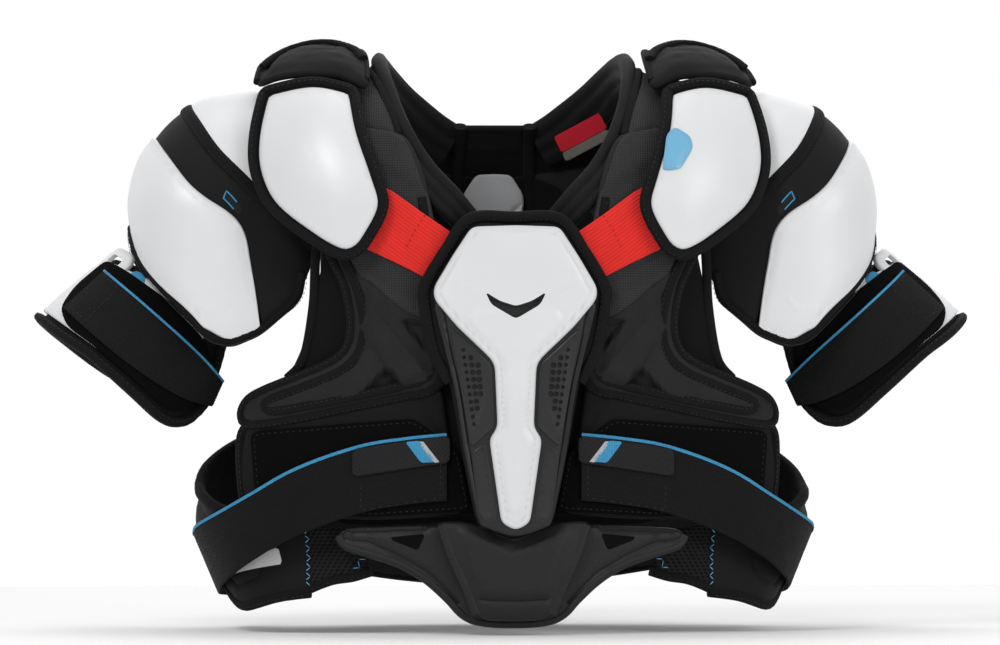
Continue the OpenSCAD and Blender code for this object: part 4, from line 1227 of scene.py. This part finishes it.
for name, s in SIDES:
    put(collar(name, s), "neoprene", "harness", f"collar_{name}")
    yoke = soften(curve([(78, -112), (97, -108), (118, -98), (132, -44), (136, 0), (132, 38), (122, 72), (104, 78),
                         (84, 78), (93, 46), (97, 0), (92, -50)],
                        True, 6), 5)
    put(panel(f"yoke_pad_{name}", yoke, over_shoulder, 0, 10.5, s, rim=4, grid=4, back_rim=2), "knit", "harness",
        f"yoke_{name}")
    edging(f"yoke_binding_{name}", curve([(80, -108), (91, -52), (96, 0), (92, 46), (84, 78)], False, 8),
           over_shoulder, 7.4, s, "harness",
           half_w=3.6, half_h=4.2, stitch=-1.8)
for name, s in SIDES:
    neck = soften(fillet([(92, -30), (90, 0), (84, 36), (70, 72), (48, 96), (20, 97), (0, 97), (0, 132), (64, 134),
                          (100, 110), (108, 40), (104, -20)],
                         8), 3)
    put(panel(f"neck_lining_{name}", neck, over_shoulder, -2.4, 2.2, s, rim=1, grid=4), "lining", "harness")
    edging(f"neck_lining_edge_{name}", [(20, 96.5), (34, 96.5), (48, 95), (60, 84), (70, 71)], over_shoulder, -1.2, s,
           "harness", half_w=2.6, half_h=2.4,
           stitch=None)
back_bar = soften(fillet([(-21, 67), (21, 67), (21, 49), (-21, 49)], 3), 1.5)
put(panel("back_collar_bar", back_bar, on_back, -3, 7, rim=2.5, grid=3, back_rim=2.5), "neoprene", "harness",
    "back_collar")
edging("back_collar_binding", [(-22, 66), (22, 66)], on_back, 0.6, 1, "harness", half_w=3.0, half_h=4.4, stitch=None)
for name, s in SIDES:
    edging(f"back_collar_side_binding_{name}", [(25, 68), (26, 40), (26, 0)], on_back, -1.6, s, "harness", half_w=4.6,
           half_h=3.6, stitch=None)
spine_line = soften(fillet(both_halves([(0, 34), (12.5, 33.5), (22, 19), (22, 11), (19, -12), (0, -12)]), 3), 1.5)
seams = mirrored([[(21.6, 13), (11, 5), (9.6, -12)]])
put(panel("inner_spine_cushion", spine_line, lambda x, z, o: on_back(x, z, -o), 5.4, 5.0, rim=2.6, grid=2.6,
          back_rim=1,
          seams=[(q, 1.0) for q in seams], relief=[groove(q, 1.1, 1.6) for q in seams]), "pad_grey", "harness",
          "inner_spine_pad")


def size_label(x, z, o):
    """The red label's own flat surface, leaning on the collar's inner side."""
    a, b = math.radians(-27), math.radians(-20)
    p = np.stack([x, np.zeros(len(x)) - o, z], -1)
    p = np.stack([p[:, 0] * math.cos(a) + p[:, 2] * math.sin(a), p[:, 1],
                  -p[:, 0] * math.sin(a) + p[:, 2] * math.cos(a)], -1)
    p = np.stack([p[:, 0] * math.cos(b) - p[:, 1] * math.sin(b), p[:, 0] * math.sin(b) + p[:, 1] * math.cos(b),
                  p[:, 2]], -1)
    return p + (62, 58, 60)


put(panel("neck_label_red", fillet([(-19, -3), (19, -3), (19, 10), (-19, 10)], 1), size_label, -0.4, 0.8, rim=0.3,
          grid=3), "red_label", "harness",
    "size_label")
put(panel("neck_label_strip", fillet([(-19, -10), (19, -10), (19, -3.2), (-19, -3.2)], 1), size_label, -0.4, 0.8,
          rim=0.3, grid=3), "olive_label",
    "harness")


# ---- Back --------------------------------------------------------------------------------------------------

back_net = [[(-106, 66), (-64, 48), (0, 43), (64, 48), (106, 66)], [(-122, 0), (122, 0)], [(-124, -50), (124, -50)],
            [(-140, -100), (140, -100)], [(-168, -150), (168, -150)], [(-172, -200), (172, -200)],
            [(-128, -248), (-64, -258), (0, -262), (64, -258), (128, -248)]]
back_line = net_outline(back_net, 8)
channels = mirrored([
    [(70, 44), (76, 0), (70, -50), (58, -100), (52, -150), (44, -200), (40, -250)],
    [(118, -40), (96, -46), (70, -52)], [(134, -96), (100, -98), (60, -104)], [(162, -148), (110, -150), (53, -154)],
    [(168, -198), (110, -200), (46, -204)], [(112, -150), (118, -200), (112, -244)]])
put(panel("back_foam", back_line, on_back, 0, 11.6, rim=5, grid=4.5, back_rim=3, seams=[(c, 2.0) for c in channels],
          relief=[groove(c, 3.4, 4.2) for c in channels]), "foam", "harness", "back_panel")
edging("back_binding", offset(back_line, -2.5), on_back, 6.0, 1, "harness", half_w=4.2, half_h=6.0, closed=True,
       stitch=2.4)
liner_line = soften(curve(both_halves([(0, 30), (40, 28), (90, -14), (98, -60), (112, -110), (130, -160), (120, -215),
                                       (0, -216)]), True, 6), 5)
put(panel("back_lining", liner_line, lambda x, z, o: on_back(x, z, -o), 1.8, 2.8, rim=1.5, grid=6), "lining",
    "harness", "back_liner")
guard_line = soften(curve(both_halves([(0, 25), (30, 22), (57, 3), (63, -30), (49, -80), (41, -140), (31, -190),
                                       (17, -212), (0, -214)]), True, 6), 3)
ribs = [[(-w, z + 7), (0, z), (w, z + 7)] for z, w in ((-8, 44), (-34, 44), (-62, 38), (-92, 33), (-122, 30),
                                                       (-152, 25), (-180, 18))]
put(panel("spine_guard_plate", guard_line, on_back, 12.0, 5.2, rim=2, grid=3.2, seams=[(r, 1.2) for r in ribs],
          relief=[inset_groove(6, 1.4, 1.2), lambda uv, d: 1.4 * step((d - 6) / 8)] + [groove(r, 1.5,
                  1.6) for r in ribs]),
    "grey", "harness", "spine_guard")
core = soften(fillet(both_halves([(0, 10), (15, 8), (24, -12), (17, -60), (12, -120), (8, -186), (0, -190)]), 4), 2)
put(panel("spine_guard_core", core, on_back, 17.0, 2.6, rim=1.4, grid=3.2, relief=[crown(1.2, 10)]), "white",
    "harness")


# ---- Cloth -------------------------------------------------------------------------------------------------

PRESSURE, FRAMES, NEIGHBOURS = 4.0, 20, 5


def mesh_points(mesh):
    out = np.empty(len(mesh.vertices) * 3)
    mesh.vertices.foreach_get("co", out)
    return out.reshape(-1, 3)


def coarse_copy(piece, voxel):
    """A coarse closed copy of a piece, for the cloth solver."""
    copy = bpy.data.objects.new("cloth_copy", piece.data.copy())
    bpy.context.scene.collection.objects.link(copy)
    remesh = copy.modifiers.new("remesh", "REMESH")
    remesh.mode = "VOXEL"
    remesh.voxel_size = voxel * MM
    mesh = bpy.data.meshes.new_from_object(copy.evaluated_get(bpy.context.evaluated_depsgraph_get()))
    copy.modifiers.clear()
    copy.data = mesh
    return copy


def blown_up(copy, cap):
    """The coarse points, and their motion over some frames of cloth under pressure, up to cap millimetres."""
    scene = bpy.context.scene
    rest = mesh_points(copy.data)
    normals = np.empty(rest.size)
    copy.data.vertices.foreach_get("normal", normals)
    small = rest - normals.reshape(-1, 3) * 0.8 * MM
    copy.data.vertices.foreach_set("co", small.ravel())
    cloth = copy.modifiers.new("cloth", "CLOTH")
    cloth.settings.use_pressure = True
    cloth.settings.uniform_pressure_force = PRESSURE
    cloth.settings.tension_stiffness = cloth.settings.compression_stiffness = 12
    cloth.settings.shrink_min = -0.03
    cloth.settings.effector_weights.gravity = 0
    cloth.point_cache.frame_start, cloth.point_cache.frame_end = 1, FRAMES
    scene.frame_start, scene.frame_end = 1, FRAMES
    for number in range(1, FRAMES + 1):
        scene.frame_set(number)
    result = copy.evaluated_get(bpy.context.evaluated_depsgraph_get())
    after = mesh_points(result.to_mesh())
    result.to_mesh_clear()
    bpy.data.objects.remove(copy)
    scene.frame_set(1)
    motion = after - small
    motion -= np.median(motion, axis=0)
    length = np.linalg.norm(motion, axis=1)
    return rest, motion * np.minimum(1, cap * MM / np.maximum(1e-9, length))[:, None]


def cushion(name, cap=3.0, rim=9.0, voxel=5.0, followers=(), calm=(), sides=True):
    """Inflates a padded piece as cloth by up to cap millimetres, and carries the motion to the pieces that lie on it
    and to the mirror image.
    The motion fades out at the rim, which the bindings hold, and inside the calm outlines, where other pieces lie."""
    ending = "_left" if sides else ""
    rest, motion = blown_up(coarse_copy(made[name + ending], voxel), cap)
    tree = mathutils.kdtree.KDTree(len(rest))
    for i, p in enumerate(rest):
        tree.insert(p, i)
    tree.balance()
    for part in (name, *followers):
        piece = made[part + ending]
        points = mesh_points(piece.data)
        move = np.zeros_like(points)
        for i, p in enumerate(points):
            near = tree.find_n(p, NEIGHBOURS)
            share = np.array([1 / (n[2] + 0.5 * MM) for n in near])
            move[i] = (motion[[n[1] for n in near]] * share[:, None]).sum(0) / share.sum()
        edge = np.empty(len(points))
        piece.data.attributes["edge"].data.foreach_get("value", edge)
        where = np.empty(points.size)
        piece.data.attributes["cloth"].data.foreach_get("vector", where)
        where = where.reshape(-1, 3)[:, :2] / MM
        hold = step(edge / MM / rim) if part == name else np.ones(len(points))
        for line in calm:
            hold = hold * step((-signed(where, line) - 1) / 8)
        move *= hold[:, None]
        for s, other in ((1, piece), (-1, made.get(part + "_right") if sides else None)):
            if other:
                other.data.vertices.foreach_set("co", ((points + move) * (s, 1, 1)).ravel())
                other.data.update()


cushion("yoke_pad", 3.0)
cushion("chest_pad_foam", 2.2, followers=["chest_knit"], calm=[[(30, -44), (30, 10), (62, 14), (90, 30), (124, 34),
                                                                (128, -16), (90, -38), (58, -56)]])
cushion("side_wing_cloth", 2.5, calm=[[(150, -225), (185, -250), (185, -262), (95, -262), (95, -225)]])
cushion("epaulet_band_cloth", 3.0, rim=10)
cushion("collar_roll", 1.6, rim=5)
cushion("belly_pad_cover", 2.2, rim=8, sides=False)
cushion("back_foam", 4.0, rim=12, voxel=6.0, sides=False, calm=[guard_line])
cushion("inner_spine_cushion", 1.8, rim=6, voxel=4.0, sides=False)


# ---- Floor, light and camera -------------------------------------------------------------------------------

floor = panel("floor", [(-1500, -1500), (1500, -1500), (1500, 1000), (-1500, 1000)], lambda x, y,
              o: np.stack([x, y, o - 290.0], -1), -2, 1, rim=0.5, grid=250)
k = Look("floor_paint", 0.9, specular=0.1, cloth=False)
k.paint(k.noise(900, 2), (0.86, 0.86, 0.86), (0.9, 0.9, 0.9))
floor.data.materials.append(k.bump(k.noise(6, 3), 0.02))


def area_light(name, place, aim, size, power):
    light = bpy.data.lights.new(name, "AREA")
    light.energy = power
    light.shape = "SQUARE"
    light.size = size
    obj = bpy.data.objects.new(name, light)
    obj.location = place
    obj.rotation_euler = (mathutils.Vector(aim) - mathutils.Vector(place)).to_track_quat("-Z", "Y").to_euler()
    bpy.context.scene.collection.objects.link(obj)


area_light("key_light", (-1.5, -2.2, 1.9), (0, 0, -0.08), 1.0, 42)
area_light("fill_light", (1.9, -2.0, 0.8), (0, 0, -0.1), 1.3, 24)
area_light("top_light", (0, 0.3, 2.3), (0, 0, 0), 1.6, 14)
area_light("back_light", (0.4, 2.4, 1.2), (0, 0, -0.05), 1.6, 8)
# A white room that is darker on the camera's side, so that the pads' relief shows
world = bpy.data.worlds.new("studio")
world.use_nodes = True
tree = world.node_tree
split = tree.nodes.new("ShaderNodeSeparateXYZ")
fade = tree.nodes.new("ShaderNodeMapRange")
fade.inputs["From Min"].default_value, fade.inputs["From Max"].default_value = -0.2, 0.5
fade.inputs["To Min"].default_value, fade.inputs["To Max"].default_value = 0.42, 1.0
tree.links.new(tree.nodes.new("ShaderNodeTexCoord").outputs["Generated"], split.inputs[0])
tree.links.new(split.outputs["Y"], fade.inputs["Value"])
tree.links.new(fade.outputs[0], tree.nodes["Background"].inputs["Strength"])
tree.nodes["Background"].inputs["Color"].default_value = (1, 1, 1, 1)
bpy.context.scene.world = world
bpy.context.scene.view_settings.view_transform = "Standard"

camera = bpy.data.objects.new("camera", bpy.data.cameras.new("camera"))
bpy.context.scene.collection.objects.link(camera)
turn = math.radians(3.84)
CAMERA_AWAY = 6.0
aim = mathutils.Vector((-0.0014, 0, -0.073))
camera.location = aim + CAMERA_AWAY * mathutils.Vector((-math.sin(turn), -math.cos(turn), 0))
camera.rotation_euler = (aim - camera.location).to_track_quat("-Z", "Y").to_euler()
camera.data.lens = 304
camera.data.sensor_width = 36
camera.data.clip_end = 50
bpy.context.scene.camera = camera
